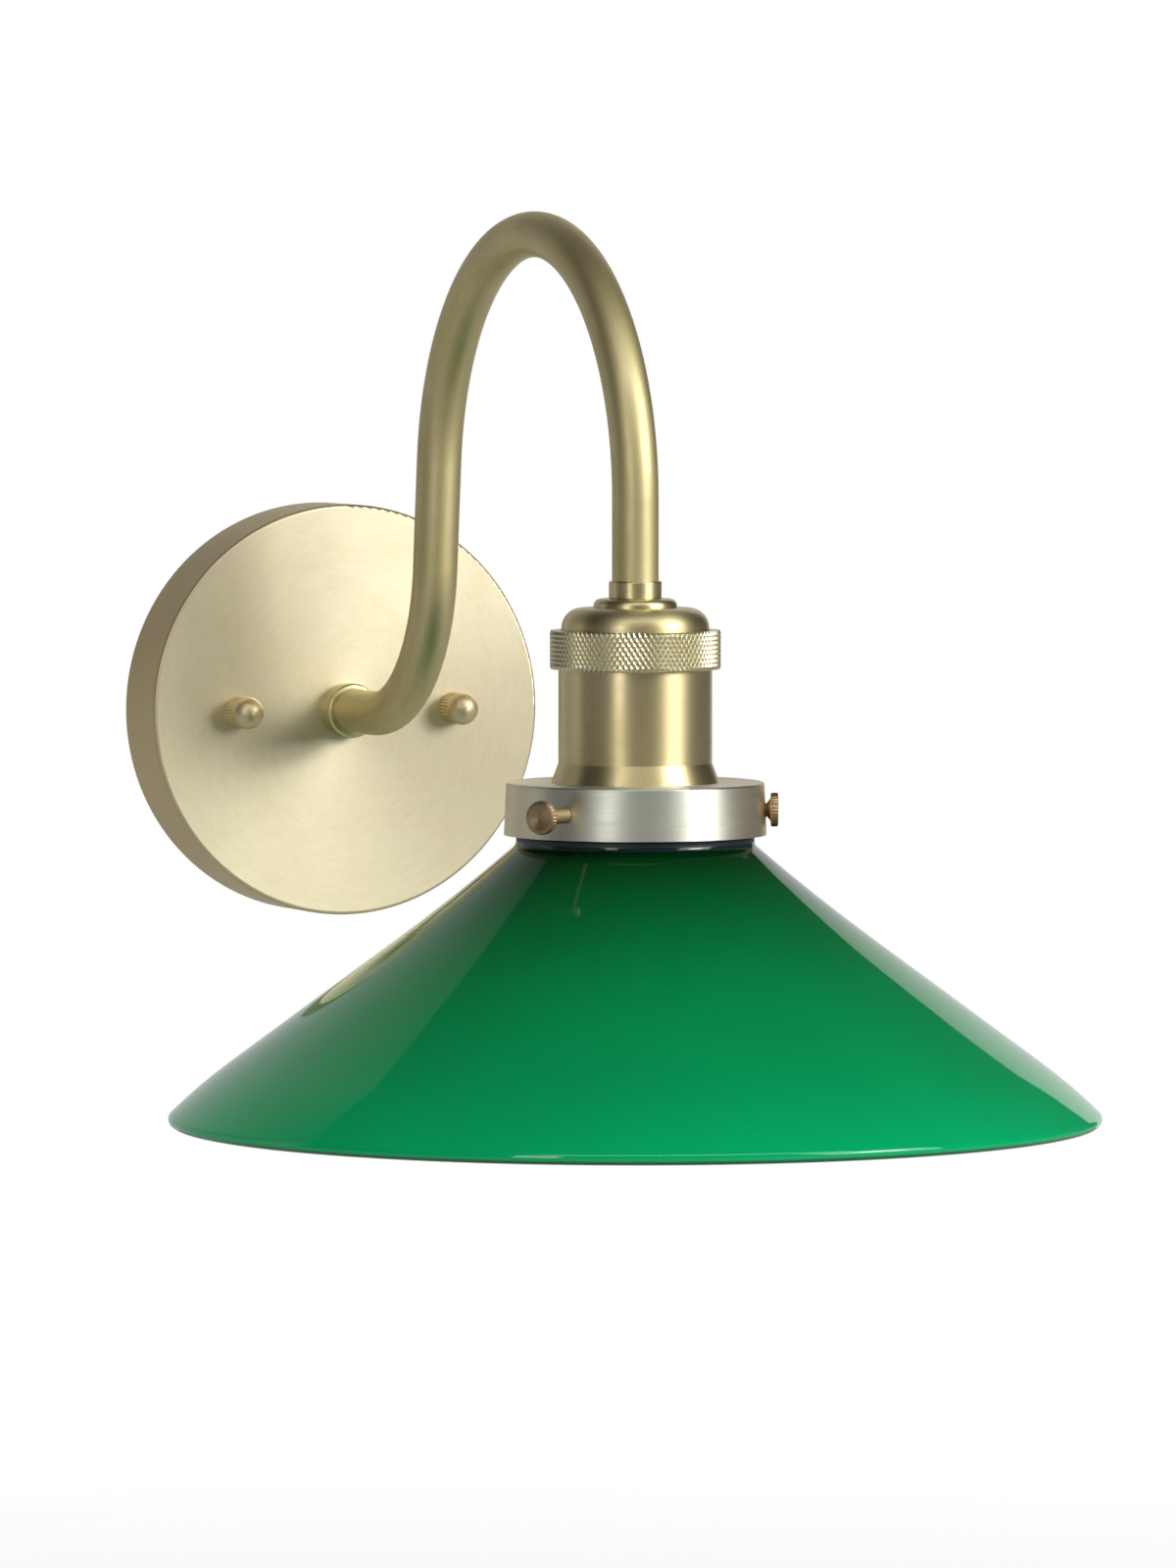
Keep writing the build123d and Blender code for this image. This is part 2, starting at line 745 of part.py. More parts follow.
# Thumb screw: knurled head with a dished face, short taper, shank and chamfered tip.
def thumb_screw(angle, shank):
    tip = neck_radius + thumb_screw_tip_gap
    seat = tip + shank
    face = seat + thumb_head_thickness
    head_radius = thumb_head_diameter / 2
    head_envelope = turned([
        (0, seat, 0),
        (head_radius - knurl_depth, seat, 0),
        (head_radius, seat + knurl_depth, 0),
        (head_radius, face - knurl_depth, 0),
        (head_radius - knurl_depth, face, 0),
        (0, face - thumb_head_dish, 0),
    ])
    head = straight_knurled(head_radius, thumb_head_teeth, seat, face) & head_envelope
    stem = turned([
        (0, tip, 0),
        (thumb_screw_radius - thumb_tip_chamfer, tip, 0),
        (thumb_screw_radius, tip + thumb_tip_chamfer, 0),
        (thumb_screw_radius, seat - thumb_root_height, 0),
        (thumb_root_diameter / 2, seat, 0),
        (0, seat, 0),
    ])
    return screw_place(angle) * (head + stem)


# Glass shade. Its shoulder stands just below the holder. From the flare down the inner face
# runs parallel to the outer one, at the glass's thickness.
lip_top = plate_underside - lip_top_gap
lip_bottom = thumb_screw_z + thumb_screw_radius + sliding_clearance
neck_bottom = thumb_screw_z - thumb_screw_radius - neck_below_screws
shoulder_top = holder_bottom - shoulder_gap
waist_z = shoulder_top - shoulder_height
flare = math.radians(flare_angle)
cone = math.radians(cone_angle)
rim = math.radians(rim_angle)


def shade_line(inset):
    """Flare, cone and fall of the shade, inset from its outer face."""
    rim_radius = shade_diameter / 2 - shade_glass / 2 * (1 - math.sin(rim))
    waist_out = waist_fillet_radius * (1 - math.sin(flare))
    flare_out = flare_radius * (math.sin(flare) - math.sin(cone))
    fall_out = fall_radius * (math.sin(rim) - math.sin(cone))
    cone_out = rim_radius - shoulder_radius - waist_out - flare_out - fall_out
    start_radius = shoulder_radius + waist_out - inset * math.sin(flare)
    start_z = waist_z - (waist_fillet_radius + inset) * math.cos(flare)
    downhill = (math.cos(flare), -math.sin(flare))
    flare_arc = JernArc((start_radius, start_z), downhill, flare_radius + inset, flare_angle - cone_angle)
    cone_end = flare_arc @ 1 + (flare_arc % 1) * (cone_out / math.cos(cone))
    cone_line = Line(flare_arc @ 1, cone_end)
    fall = JernArc(cone_line @ 1, cone_line % 1, fall_radius - inset, cone_angle - rim_angle)
    return [flare_arc, cone_line, fall]


def glass_shade():
    waist = JernArc((shoulder_radius, waist_z), (0, -1), waist_fillet_radius, 90 - flare_angle)
    outer = shade_line(0)
    inner = shade_line(shade_glass)
    rim_roll = JernArc(outer[-1] @ 1, outer[-1] % 1, shade_glass / 2, -180)
    lip_radius = lip_diameter / 2
    neck_inner_radius = neck_radius - shade_glass
    flare_start = inner[0] @ 0
    inner_turn_z = flare_start.Y + (flare_start.X - neck_inner_radius) * math.tan(flare)
    neck = FilletPolyline(
        waist @ 0,
        (shoulder_radius, shoulder_top),
        (neck_radius, neck_bottom),
        (neck_radius, lip_bottom),
        (lip_radius, lip_bottom),
        (lip_radius, lip_top),
        (neck_inner_radius, lip_top),
        (neck_inner_radius, inner_turn_z),
        flare_start,
        radius=[
            shoulder_rounding,
            neck_fillet_radius,
            lip_rounding / 2,
            lip_rounding,
            lip_rounding,
            lip_rounding,
            neck_inner_fillet_radius,
        ],
    )
    outline = [edge for line in [waist] + outer + [rim_roll] + inner + [neck] for edge in line.edges()]
    return socket_axis * revolve(Plane.XZ * make_face(outline), Axis.Z)


pieces = {
    "wall_canopy": wall_canopy(),
    "fixing_strap": fixing_strap(),
    "ground_screw": ground_screw(),
    "canopy_studs": canopy_studs(),
    "stud_lock_nuts": stud_lock_nuts(),
    "arm_collar": arm_collar(),
    "arm_tube": arm_tube(),
    "arm_nipple": arm_nipple(),
    "lock_washer": lock_washer(),
    "arm_lock_nut": arm_lock_nut(),
    "nipple_bushing": nipple_bushing(),
    "neck_collar": neck_collar(),
    "seat_ring": seat_ring(),
    "socket_nipple": socket_nipple(),
    "cap_lock_nut": cap_lock_nut(),
    "socket_cap": socket_cap(),
    "knurled_ring": knurled_ring(),
    "socket_shell": socket_shell(),
    "socket_insulator": socket_insulator(),
    "screw_shell": screw_shell(),
    "centre_contact": centre_contact(),
    "terminal_plate_hot": terminal_plate_hot(),
    "terminal_plate_neutral": terminal_plate_neutral(),
    "terminal_screws": terminal_screws(),
    "socket_rivets": socket_rivets(),
    "lead_wire_hot": lead_wire(-1),
    "lead_wire_neutral": lead_wire(1),
    "wire_connectors": wire_connectors(),
    "shade_holder": shade_holder(),
    "holder_ring_nut": holder_ring_nut(),
    "glass_shade": glass_shade(),
}
for side, place in stud_places.items():
    pieces[f"cap_nut_{side}"] = cap_nut(place)
for name, (angle, shank) in thumb_screws.items():
    pieces[name] = thumb_screw(angle, shank)

os.makedirs("parts", exist_ok=True)
for name, piece in pieces.items():
    export_step(piece, f"parts/{name}.step")
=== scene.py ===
import bmesh
import bpy
import math
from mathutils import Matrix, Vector


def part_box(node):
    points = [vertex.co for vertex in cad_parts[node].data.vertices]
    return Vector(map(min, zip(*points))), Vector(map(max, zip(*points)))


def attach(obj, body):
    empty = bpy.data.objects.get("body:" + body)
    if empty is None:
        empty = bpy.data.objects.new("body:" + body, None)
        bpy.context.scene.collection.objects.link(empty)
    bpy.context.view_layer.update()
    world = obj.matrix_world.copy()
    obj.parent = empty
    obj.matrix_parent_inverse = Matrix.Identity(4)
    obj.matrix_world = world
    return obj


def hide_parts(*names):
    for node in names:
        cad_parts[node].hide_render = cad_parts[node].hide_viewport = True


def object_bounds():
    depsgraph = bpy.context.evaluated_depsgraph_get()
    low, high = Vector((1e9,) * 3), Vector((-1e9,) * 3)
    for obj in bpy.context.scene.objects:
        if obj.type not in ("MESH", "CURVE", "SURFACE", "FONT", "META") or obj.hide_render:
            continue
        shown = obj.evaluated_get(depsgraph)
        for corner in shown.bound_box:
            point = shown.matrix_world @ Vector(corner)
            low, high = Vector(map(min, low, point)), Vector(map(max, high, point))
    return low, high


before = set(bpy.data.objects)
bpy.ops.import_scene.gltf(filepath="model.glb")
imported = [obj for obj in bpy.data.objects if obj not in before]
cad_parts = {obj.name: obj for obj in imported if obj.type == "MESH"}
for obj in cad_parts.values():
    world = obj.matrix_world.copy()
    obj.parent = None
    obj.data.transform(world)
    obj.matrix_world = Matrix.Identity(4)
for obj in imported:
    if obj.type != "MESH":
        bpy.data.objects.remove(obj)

cad_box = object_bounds()

# Studio: the sconce hangs clear of a pale floor. A camera far off looks at it from the front
# left, a little from above, through a long lens.
camera_azimuth = math.radians(-22.07)
camera_elevation = math.radians(2.83)
camera_distance = 3.042
camera_back = Vector((
    math.sin(camera_azimuth) * math.cos(camera_elevation),
    -math.cos(camera_azimuth) * math.cos(camera_elevation),
    math.sin(camera_elevation),
))
camera_circles = Vector((0, -0.110, 0))
camera_aim = Vector((0.03341, -0.12446, -0.01711))
camera_data = bpy.data.cameras.new("studio_camera")
camera_data.sensor_width = 36.0
camera_data.lens = 247.3


def new_object(name, data):
    """A new object in the scene, which shows its data where they are."""
    item = bpy.data.objects.new(name, data)
    bpy.context.collection.objects.link(item)
    return item


camera = new_object("studio_camera", camera_data)
camera.location = camera_circles + camera_back * camera_distance
camera.rotation_mode = "QUATERNION"
camera.rotation_quaternion = (camera_aim - camera.location).to_track_quat("-Z", "Y")
bpy.context.scene.camera = camera
bpy.context.scene.view_settings.view_transform = "Standard"


def add_node(tree, kind, inputs=None, **settings):
    """A new node with its settings. An input is given a value, or another node's output."""
    node = tree.nodes.new(kind)
    for name, value in settings.items():
        setattr(node, name, value)
    for name, value in (inputs or {}).items():
        if isinstance(value, bpy.types.NodeSocket):
            tree.links.new(value, node.inputs[name])
        else:
            node.inputs[name].default_value = value
    return node


def calc(tree, operation, *values):
    """The result of one Math node."""
    return add_node(tree, "ShaderNodeMath", dict(enumerate(values)), operation=operation).outputs[0]


def vector_calc(tree, operation, *values):
    """The result of one Vector Math node: a vector, or a number for a length or dot product."""
    node = add_node(tree, "ShaderNodeVectorMath", dict(enumerate(values)), operation=operation)
    return node.outputs["Value" if operation in ("LENGTH", "DOT_PRODUCT") else "Vector"]


def spread_between(tree, value, low, high, at_low, at_high):
    """A value's range mapped to another, and held at its ends."""
    return add_node(tree, "ShaderNodeMapRange", {
        "Value": value,
        "From Min": low,
        "From Max": high,
        "To Min": at_low,
        "To Max": at_high,
    }).outputs[0]


def new_material(name):
    """A material with an empty node tree."""
    material = bpy.data.materials.new(name)
    material.use_nodes = True
    material.node_tree.nodes.clear()
    return material, material.node_tree


def studio_paper(name, corners, white_share, white_strength):
    """A flat sheet of white paper, clear from behind. white_share and white_strength make it the white
    background."""
    material, tree = new_material(name)
    where = tree.nodes.new("ShaderNodeTexCoord").outputs["Object"]
    rays = tree.nodes.new("ShaderNodeLightPath").outputs
    mirrored = calc(tree, "MAXIMUM", rays["Is Glossy Ray"], rays["Is Transmission Ray"])
    seen = calc(tree, "MAXIMUM", rays["Is Camera Ray"], mirrored)
    shaded = add_node(tree, "ShaderNodeBsdfDiffuse", {"Color": (0.86, 0.86, 0.85, 1)})
    glow = add_node(tree, "ShaderNodeEmission", {"Strength": white_strength(tree, where, rays)})
    mixed = add_node(tree, "ShaderNodeMixShader", {
        "Fac": calc(tree, "MULTIPLY", seen, white_share(tree, where)),
        1: shaded.outputs[0],
        2: glow.outputs[0],
    })
    one_way = add_node(tree, "ShaderNodeMixShader", {
        "Fac": tree.nodes.new("ShaderNodeNewGeometry").outputs["Backfacing"],
        1: mixed.outputs[0],
        2: tree.nodes.new("ShaderNodeBsdfTransparent").outputs[0],
    })
    add_node(tree, "ShaderNodeOutputMaterial", {"Surface": one_way.outputs[0]})
    mesh = bpy.data.meshes.new(name)
    mesh.from_pydata(corners, [], [range(len(corners))])
    mesh.materials.append(material)
    sheet = new_object(name, mesh)
    return sheet


# Floor: it keeps the sconce's shadow near it, and is plain white further off
floor_shaded_within = 0.5
floor_white_beyond = 1.1
floor_near_white = 0.72
floor_lit_strength = 0.35


def floor_share(tree, where):
    distance = vector_calc(tree, "LENGTH", where)
    return spread_between(tree, distance, floor_shaded_within, floor_white_beyond, floor_near_white, 1.0)


def floor_strength(tree, where, rays):
    return spread_between(tree, rays["Is Camera Ray"], 0, 1, floor_lit_strength, 1.0)


floor_z = cad_box[0].z - 0.25
floor_half = 6.0
studio_paper("studio_floor", [
    (-floor_half, -floor_half, floor_z),
    (floor_half, -floor_half, floor_z),
    (floor_half, floor_half, floor_z),
    (-floor_half, floor_half, floor_z),
], floor_share, floor_strength)


# Backdrop: its top and right edges show in the glass. It glows with painted light, brighter towards both
# sides and dimmer upwards, as if lit from both sides and from below.
# Each glow is its first and last place along X, and its strength at each.
backdrop_right_glow = (-0.9, 1.1, 0.28, 0.85)
backdrop_left_glow = (-0.8, -2.0, 0, 0.30)
backdrop_loss_upwards = -0.16


def backdrop_share(tree, where):
    return 1.0


def backdrop_strength(tree, where, rays):
    parts = add_node(tree, "ShaderNodeSeparateXYZ", {0: where}).outputs
    from_right = spread_between(tree, parts[0], *backdrop_right_glow)
    from_left = spread_between(tree, parts[0], *backdrop_left_glow)
    from_sides = calc(tree, "ADD", from_right, from_left)
    return calc(tree, "MULTIPLY_ADD", parts[2], backdrop_loss_upwards, from_sides)


backdrop_y = 0.9
backdrop_left = -2.6
backdrop_right = 1.25
backdrop_top = 1.34
backdrop = studio_paper("studio_backdrop", [
    (backdrop_left, backdrop_y, floor_z),
    (backdrop_right, backdrop_y, floor_z),
    (backdrop_right, backdrop_y, backdrop_top),
    (backdrop_left, backdrop_y, backdrop_top),
], backdrop_share, backdrop_strength)
backdrop.visible_camera = False
backdrop.visible_shadow = False

# Room: white where the camera looks past everything, nearly dark in the metal, a soft fill elsewhere
room_mirrored = 0.045
room_fill = 0.24
world = bpy.data.worlds.new("studio_room")
world.use_nodes = True
bpy.context.scene.world = world
room = world.node_tree
room.nodes.clear()
room_rays = room.nodes.new("ShaderNodeLightPath").outputs
room_seen = calc(room, "MULTIPLY_ADD", room_rays["Is Camera Ray"], 1 - room_mirrored, room_mirrored)
room_level = calc(room, "MULTIPLY_ADD", room_rays["Is Diffuse Ray"], room_fill - room_mirrored, room_seen)
room_light = add_node(room, "ShaderNodeBackground", {"Color": (1, 1, 1, 1), "Strength": room_level})
add_node(room, "ShaderNodeOutputWorld", {"Surface": room_light.outputs[0]})
lamps_aim = Vector((0, -0.2, 0))


def softbox(name, azimuth, elevation, distance, width, height, power):
    """A soft lamp turned to the sconce's middle. Azimuths run from the front to the right."""
    data = bpy.data.lights.new(name, "AREA")
    data.shape = "RECTANGLE"
    data.size = width
    data.size_y = height
    data.energy = power
    turn = math.radians(azimuth)
    rise = math.radians(elevation)
    back = Vector((math.sin(turn) * math.cos(rise), -math.cos(turn) * math.cos(rise), math.sin(rise)))
    lamp = new_object(name, data)
    lamp.location = lamps_aim + back * distance
    lamp.rotation_mode = "QUATERNION"
    lamp.rotation_quaternion = back.to_track_quat("Z", "Y")
    lamp.visible_camera = False


softbox("left_softbox", azimuth=-46, elevation=14, distance=1.9, width=0.36, height=1.0, power=5)
softbox("right_softbox", azimuth=39, elevation=21, distance=1.9, width=1.10, height=1.10, power=17)
softbox("key_lamp", azimuth=39, elevation=21, distance=1.88, width=0.46, height=0.46, power=7.5)
softbox("overhead_softbox", azimuth=-5, elevation=52, distance=1.9, width=2.4, height=0.6, power=10)

# Fixing strap, studs and their lock nuts: a punched steel bar that screws to the wall box, with two
# threaded studs locked in it by hexagon nuts. All of it is zinc plated.


def grain(tree, vector, scale, detail=2.0, roughness=0.5):
    """Noise from 0 to 1."""
    return add_node(tree, "ShaderNodeTexNoise", {
        "Vector": vector,
        "Scale": scale,
        "Detail": detail,
        "Roughness": roughness,
    }).outputs["Fac"]


def mixed_colour(tree, factor, first, second):
    """One colour that turns into another as the factor goes from 0 to 1. Sockets 6, 7 and 2 are the
    Mix node's two colours and its result."""
    mix = add_node(tree, "ShaderNodeMix", {"Factor": factor, 6: first, 7: second}, data_type="RGBA")
    return mix.outputs[2]


def scaled(tree, vector, factor):
    """A vector or colour times a number."""
    return add_node(tree, "ShaderNodeVectorMath", {0: vector, "Scale": factor}, operation="SCALE").outputs[0]


def new_group(name, inputs, outputs):
    """An empty shader node group, with its input and output nodes."""
    group = bpy.data.node_groups.new(name, "ShaderNodeTree")
    for label, kind in inputs:
        group.interface.new_socket(label, in_out="INPUT", socket_type="NodeSocket" + kind)
    for label, kind in outputs:
        group.interface.new_socket(label, in_out="OUTPUT", socket_type="NodeSocket" + kind)
    return group, group.nodes.new("NodeGroupInput").outputs, group.nodes.new("NodeGroupOutput").inputs


worn_group, worn_in, worn_out = new_group("worn_finish", [
    ("Place", "Vector"), ("Colour", "Color"), ("Worn colour", "Color"), ("Scale", "Float"),
    ("Roughness", "Float"), ("Roughness spread", "Float"),
], [("Colour", "Color"), ("Roughness", "Float"), ("Height", "Float")])
worn_broad = grain(worn_group, worn_in["Place"], worn_in["Scale"], 4.0)
worn_fine = grain(worn_group, worn_in["Place"], calc(worn_group, "MULTIPLY", worn_in["Scale"], 9.0))
worn_share = spread_between(worn_group, worn_broad, 0.42, 0.68, 0, 1)
worn_colour = mixed_colour(worn_group, worn_share, worn_in["Colour"], worn_in["Worn colour"])
worn_level = calc(worn_group, "MULTIPLY_ADD", worn_fine, 0.5, worn_broad)
worn_group.links.new(worn_colour, worn_out["Colour"])
worn_group.links.new(calc(
    worn_group, "MULTIPLY_ADD", calc(worn_group, "SUBTRACT", worn_level, 0.75),
    worn_in["Roughness spread"], worn_in["Roughness"],
), worn_out["Roughness"])
worn_group.links.new(worn_level, worn_out["Height"])


def thread_height(tree, point, pitch):
    """The height of a thread cut round a piece's Z axis, from 0 to 1."""
    x, y, z = add_node(tree, "ShaderNodeSeparateXYZ", {0: point}).outputs
    turns = calc(tree, "DIVIDE", calc(tree, "ARCTAN2", y, x), 2 * math.pi)
    phase = calc(tree, "FRACT", calc(tree, "SUBTRACT", calc(tree, "DIVIDE", z, pitch), turns))
    return calc(tree, "ABSOLUTE", calc(tree, "SUBTRACT", calc(tree, "MULTIPLY", phase, 2.0), 1.0))


def worn_material(name, colour, worn_colour, metallic, roughness, spread=0.15, scale=120.0,
                  depth=0.00002, coat=0.0, thread=None):
    """A plain finish with faint wear. thread is its pitch, its depth, a point of its axis and the
    turn that stands that axis upright."""
    material, tree = new_material(name)
    point = tree.nodes.new("ShaderNodeTexCoord").outputs["Object"]
    wear = add_node(tree, "ShaderNodeGroup", node_tree=worn_group)
    tree.links.new(point, wear.inputs["Place"])
    wear.inputs["Colour"].default_value = (*colour, 1)
    wear.inputs["Worn colour"].default_value = (*worn_colour, 1)
    wear.inputs["Scale"].default_value = scale
    wear.inputs["Roughness"].default_value = roughness
    wear.inputs["Roughness spread"].default_value = spread
    bump = add_node(tree, "ShaderNodeBump", {
        "Height": wear.outputs["Height"],
        "Strength": 0.6,
        "Distance": depth,
    })
    if thread:
        pitch, thread_depth, axis_point, turn = thread
        stood_up = add_node(tree, "ShaderNodeMapping", {
            "Vector": vector_calc(tree, "SUBTRACT", point, axis_point),
            "Rotation": turn,
        })
        bump = add_node(tree, "ShaderNodeBump", {
            "Height": thread_height(tree, stood_up.outputs[0], pitch),
            "Strength": 0.8,
            "Distance": thread_depth,
            "Normal": bump.outputs[0],
        })
    shader = add_node(tree, "ShaderNodeBsdfPrincipled", {
        "Base Color": wear.outputs["Colour"],
        "Metallic": metallic,
        "Roughness": wear.outputs["Roughness"],
        "Coat Weight": coat,
        "Normal": bump.outputs[0],
    })
    add_node(tree, "ShaderNodeOutputMaterial", {"Surface": shader.outputs[0]})
    return material


def finish(material, *nodes):
    """Gives CAD nodes their material."""
    for name in nodes:
        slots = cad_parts[name].data.materials
        slots.clear()
        slots.append(material)


def middle_of(node):
    """The middle of a node's box."""
    low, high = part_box(node)
    return (low + high) / 2


zinc = worn_material("zinc_plate", (0.62, 0.63, 0.64), (0.50, 0.50, 0.48), 1.0, 0.34, scale=90.0)
finish(zinc, "fixing_strap", "stud_lock_nuts")


def new_tree(name, inputs):
    """An empty Geometry Nodes tree with a geometry in and out, and its named inputs."""
    tree = bpy.data.node_groups.new(name, "GeometryNodeTree")
    tree.interface.new_socket("Geometry", in_out="INPUT", socket_type="NodeSocketGeometry")
    for label, kind in inputs:
        tree.interface.new_socket(label, in_out="INPUT", socket_type="NodeSocket" + kind)
    tree.interface.new_socket("Geometry", in_out="OUTPUT", socket_type="NodeSocketGeometry")
    return tree, tree.nodes.new("NodeGroupInput").outputs, tree.nodes.new("NodeGroupOutput").inputs


def grown_mesh(name, start_mesh, tree, values):
    """The plain mesh that a Geometry Nodes tree makes from a mesh, with its inputs set."""
    carrier = new_object(name, start_mesh)
    modifier = carrier.modifiers.new(name, "NODES")
    modifier.node_group = tree
    for item in tree.interface.items_tree:
        if item.in_out == "INPUT" and item.name in values:
            modifier[item.identifier] = values[item.name]
    carrier.update_tag()
    depsgraph = bpy.context.evaluated_depsgraph_get()
    mesh = bpy.data.meshes.new_from_object(carrier.evaluated_get(depsgraph))
    bpy.data.objects.remove(carrier)
    return mesh


thread_tree, thread_in, thread_out = new_tree("screw_thread", [
    ("Segments", "Int"), ("Rows", "Int"), ("Length", "Float"), ("Radius", "Float"), ("Pitch", "Float"),
    ("Depth", "Float"), ("Chamfer", "Float"), ("Place", "Vector"), ("Turn", "Vector"),
    ("Material", "Material"),
])
thread_bar = add_node(thread_tree, "GeometryNodeMeshCylinder", {
    "Vertices": thread_in["Segments"],
    "Side Segments": thread_in["Rows"],
    "Radius": 1.0,
    "Depth": thread_in["Length"],
})
bar_x, bar_y, bar_z = add_node(thread_tree, "ShaderNodeSeparateXYZ", {
    0: thread_tree.nodes.new("GeometryNodeInputPosition").outputs[0],
}).outputs
from_tip = calc(thread_tree, "MULTIPLY_ADD", thread_in["Length"], 0.5, bar_z)
bar_turn = calc(thread_tree, "ARCTAN2", bar_y, bar_x)
thread_phase = calc(thread_tree, "SUBTRACT", calc(
    thread_tree, "MULTIPLY", calc(thread_tree, "DIVIDE", from_tip, thread_in["Pitch"]), 2 * math.pi,
), bar_turn)
groove = calc(thread_tree, "MULTIPLY_ADD", calc(thread_tree, "COSINE", thread_phase), 0.5, 0.5)
tip_loss = calc(thread_tree, "MAXIMUM", calc(thread_tree, "SUBTRACT", thread_in["Chamfer"], from_tip), 0.0)
groove_loss = calc(thread_tree, "MULTIPLY", groove, thread_in["Depth"])
thread_loss = calc(thread_tree, "MAXIMUM", groove_loss, tip_loss)
thread_radius = calc(thread_tree, "SUBTRACT", thread_in["Radius"], thread_loss)
thread_cut = add_node(thread_tree, "GeometryNodeSetPosition", {
    "Geometry": thread_bar.outputs["Mesh"],
    "Position": add_node(thread_tree, "ShaderNodeCombineXYZ", {
        0: calc(thread_tree, "MULTIPLY", bar_x, thread_radius),
        1: calc(thread_tree, "MULTIPLY", bar_y, thread_radius),
        2: from_tip,
    }).outputs[0],
})
thread_smooth = add_node(thread_tree, "GeometryNodeSetShadeSmooth", {0: thread_cut.outputs[0]})
thread_placed = add_node(thread_tree, "GeometryNodeTransform", {
    "Geometry": thread_smooth.outputs[0],
    "Translation": thread_in["Place"],
    "Rotation": thread_in["Turn"],
})
thread_painted = add_node(thread_tree, "GeometryNodeSetMaterial", {
    "Geometry": thread_placed.outputs[0],
    "Material": thread_in["Material"],
})
thread_joined = thread_tree.nodes.new("GeometryNodeJoinGeometry")
thread_tree.links.new(thread_painted.outputs[0], thread_joined.inputs[0])
thread_tree.links.new(thread_in["Geometry"], thread_joined.inputs[0])
thread_real = add_node(thread_tree, "GeometryNodeRealizeInstances", {0: thread_joined.outputs[0]})
thread_tree.links.new(thread_real.outputs[0], thread_out["Geometry"])

stud_low, stud_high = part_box("canopy_studs")
stud_radius = (stud_high.z - stud_low.z) / 2
stud_length = stud_high.y - stud_low.y
stud_segments = 24
stud_pitch = 0.0007
stud_thread_depth = 0.0003
stud_chamfer = 0.0005
thread_rows_per_turn = 8
stud_steel = worn_material("stud_steel", (0.64, 0.64, 0.63), (0.50, 0.49, 0.46), 1.0, 0.30)
studs_mesh = bpy.data.meshes.new("studs_start")
for side in (-1, 1):
    studs_mesh = grown_mesh("canopy_studs", studs_mesh, thread_tree, {
        "Segments": stud_segments,
        "Rows": round(stud_length / stud_pitch * thread_rows_per_turn),
        "Length": stud_length,
        "Radius": stud_radius,
        "Pitch": stud_pitch,
        "Depth": stud_thread_depth,
        "Chamfer": stud_chamfer,
        "Place": (side * (stud_high.x - stud_radius), stud_low.y, 0),
        "Turn": (math.radians(-90), 0, 0),
        "Material": stud_steel,
    })
studs = new_object("threaded_canopy_studs", studs_mesh)
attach(studs, "fixture")
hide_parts("canopy_studs")

# Ground screw: a green-dyed steel screw in the strap, which clamps the bare earth wire under its
# washer head.
finish(worn_material(
    "green_dyed_steel", (0.03, 0.30, 0.09), (0.10, 0.34, 0.16), 0.8, 0.33, scale=260.0,
), "ground_screw")

# Wall canopy: a pan drawn from brass sheet and brushed while it spins, then lacquered. The brush
# leaves short arcs round its middle, so its highlights fan out from there.
lines_group, lines_in, lines_out = new_group("brushed_lines", [
    ("Round", "Vector"), ("Across", "Float"), ("Place", "Vector"), ("Colour", "Color"),
    ("Stain", "Color"), ("Roughness", "Float"), ("Roughness spread", "Float"), ("Fine", "Float"),
], [("Colour", "Color"), ("Roughness", "Float"), ("Height", "Float")])


def brush_noise(scale, detail):
    """Noise drawn out along the brush's path, in four dimensions so that it has no seam."""
    return add_node(lines_group, "ShaderNodeTexNoise", {
        "Vector": lines_in["Round"],
        "W": lines_in["Across"],
        "Scale": scale,
        "Detail": detail,
    }, noise_dimensions="4D").outputs["Fac"]


fine_lines = brush_noise(lines_in["Fine"], 3.0)
broad_lines = brush_noise(calc(lines_group, "MULTIPLY", lines_in["Fine"], 0.27), 2.0)
clouds = grain(lines_group, lines_in["Place"], 45.0, 3.0)
coarse_share = 0.45
fine_part = calc(lines_group, "MULTIPLY", fine_lines, 1 - coarse_share)
line_level = calc(lines_group, "MULTIPLY_ADD", broad_lines, coarse_share, fine_part)
line_part = calc(lines_group, "MULTIPLY", line_level, 1 - coarse_share)
stain_level = calc(lines_group, "MULTIPLY_ADD", clouds, coarse_share, line_part)
stain_share = spread_between(lines_group, stain_level, 0.36, 0.64, 0, 1)
lines_colour = mixed_colour(lines_group, stain_share, lines_in["Colour"], lines_in["Stain"])
lines_group.links.new(lines_colour, lines_out["Colour"])
lines_group.links.new(calc(
    lines_group, "MULTIPLY_ADD", calc(lines_group, "SUBTRACT", stain_level, 0.5),
    lines_in["Roughness spread"], lines_in["Roughness"],
), lines_out["Roughness"])
lines_group.links.new(line_level, lines_out["Height"])
wall_shade_fade = 0.0006


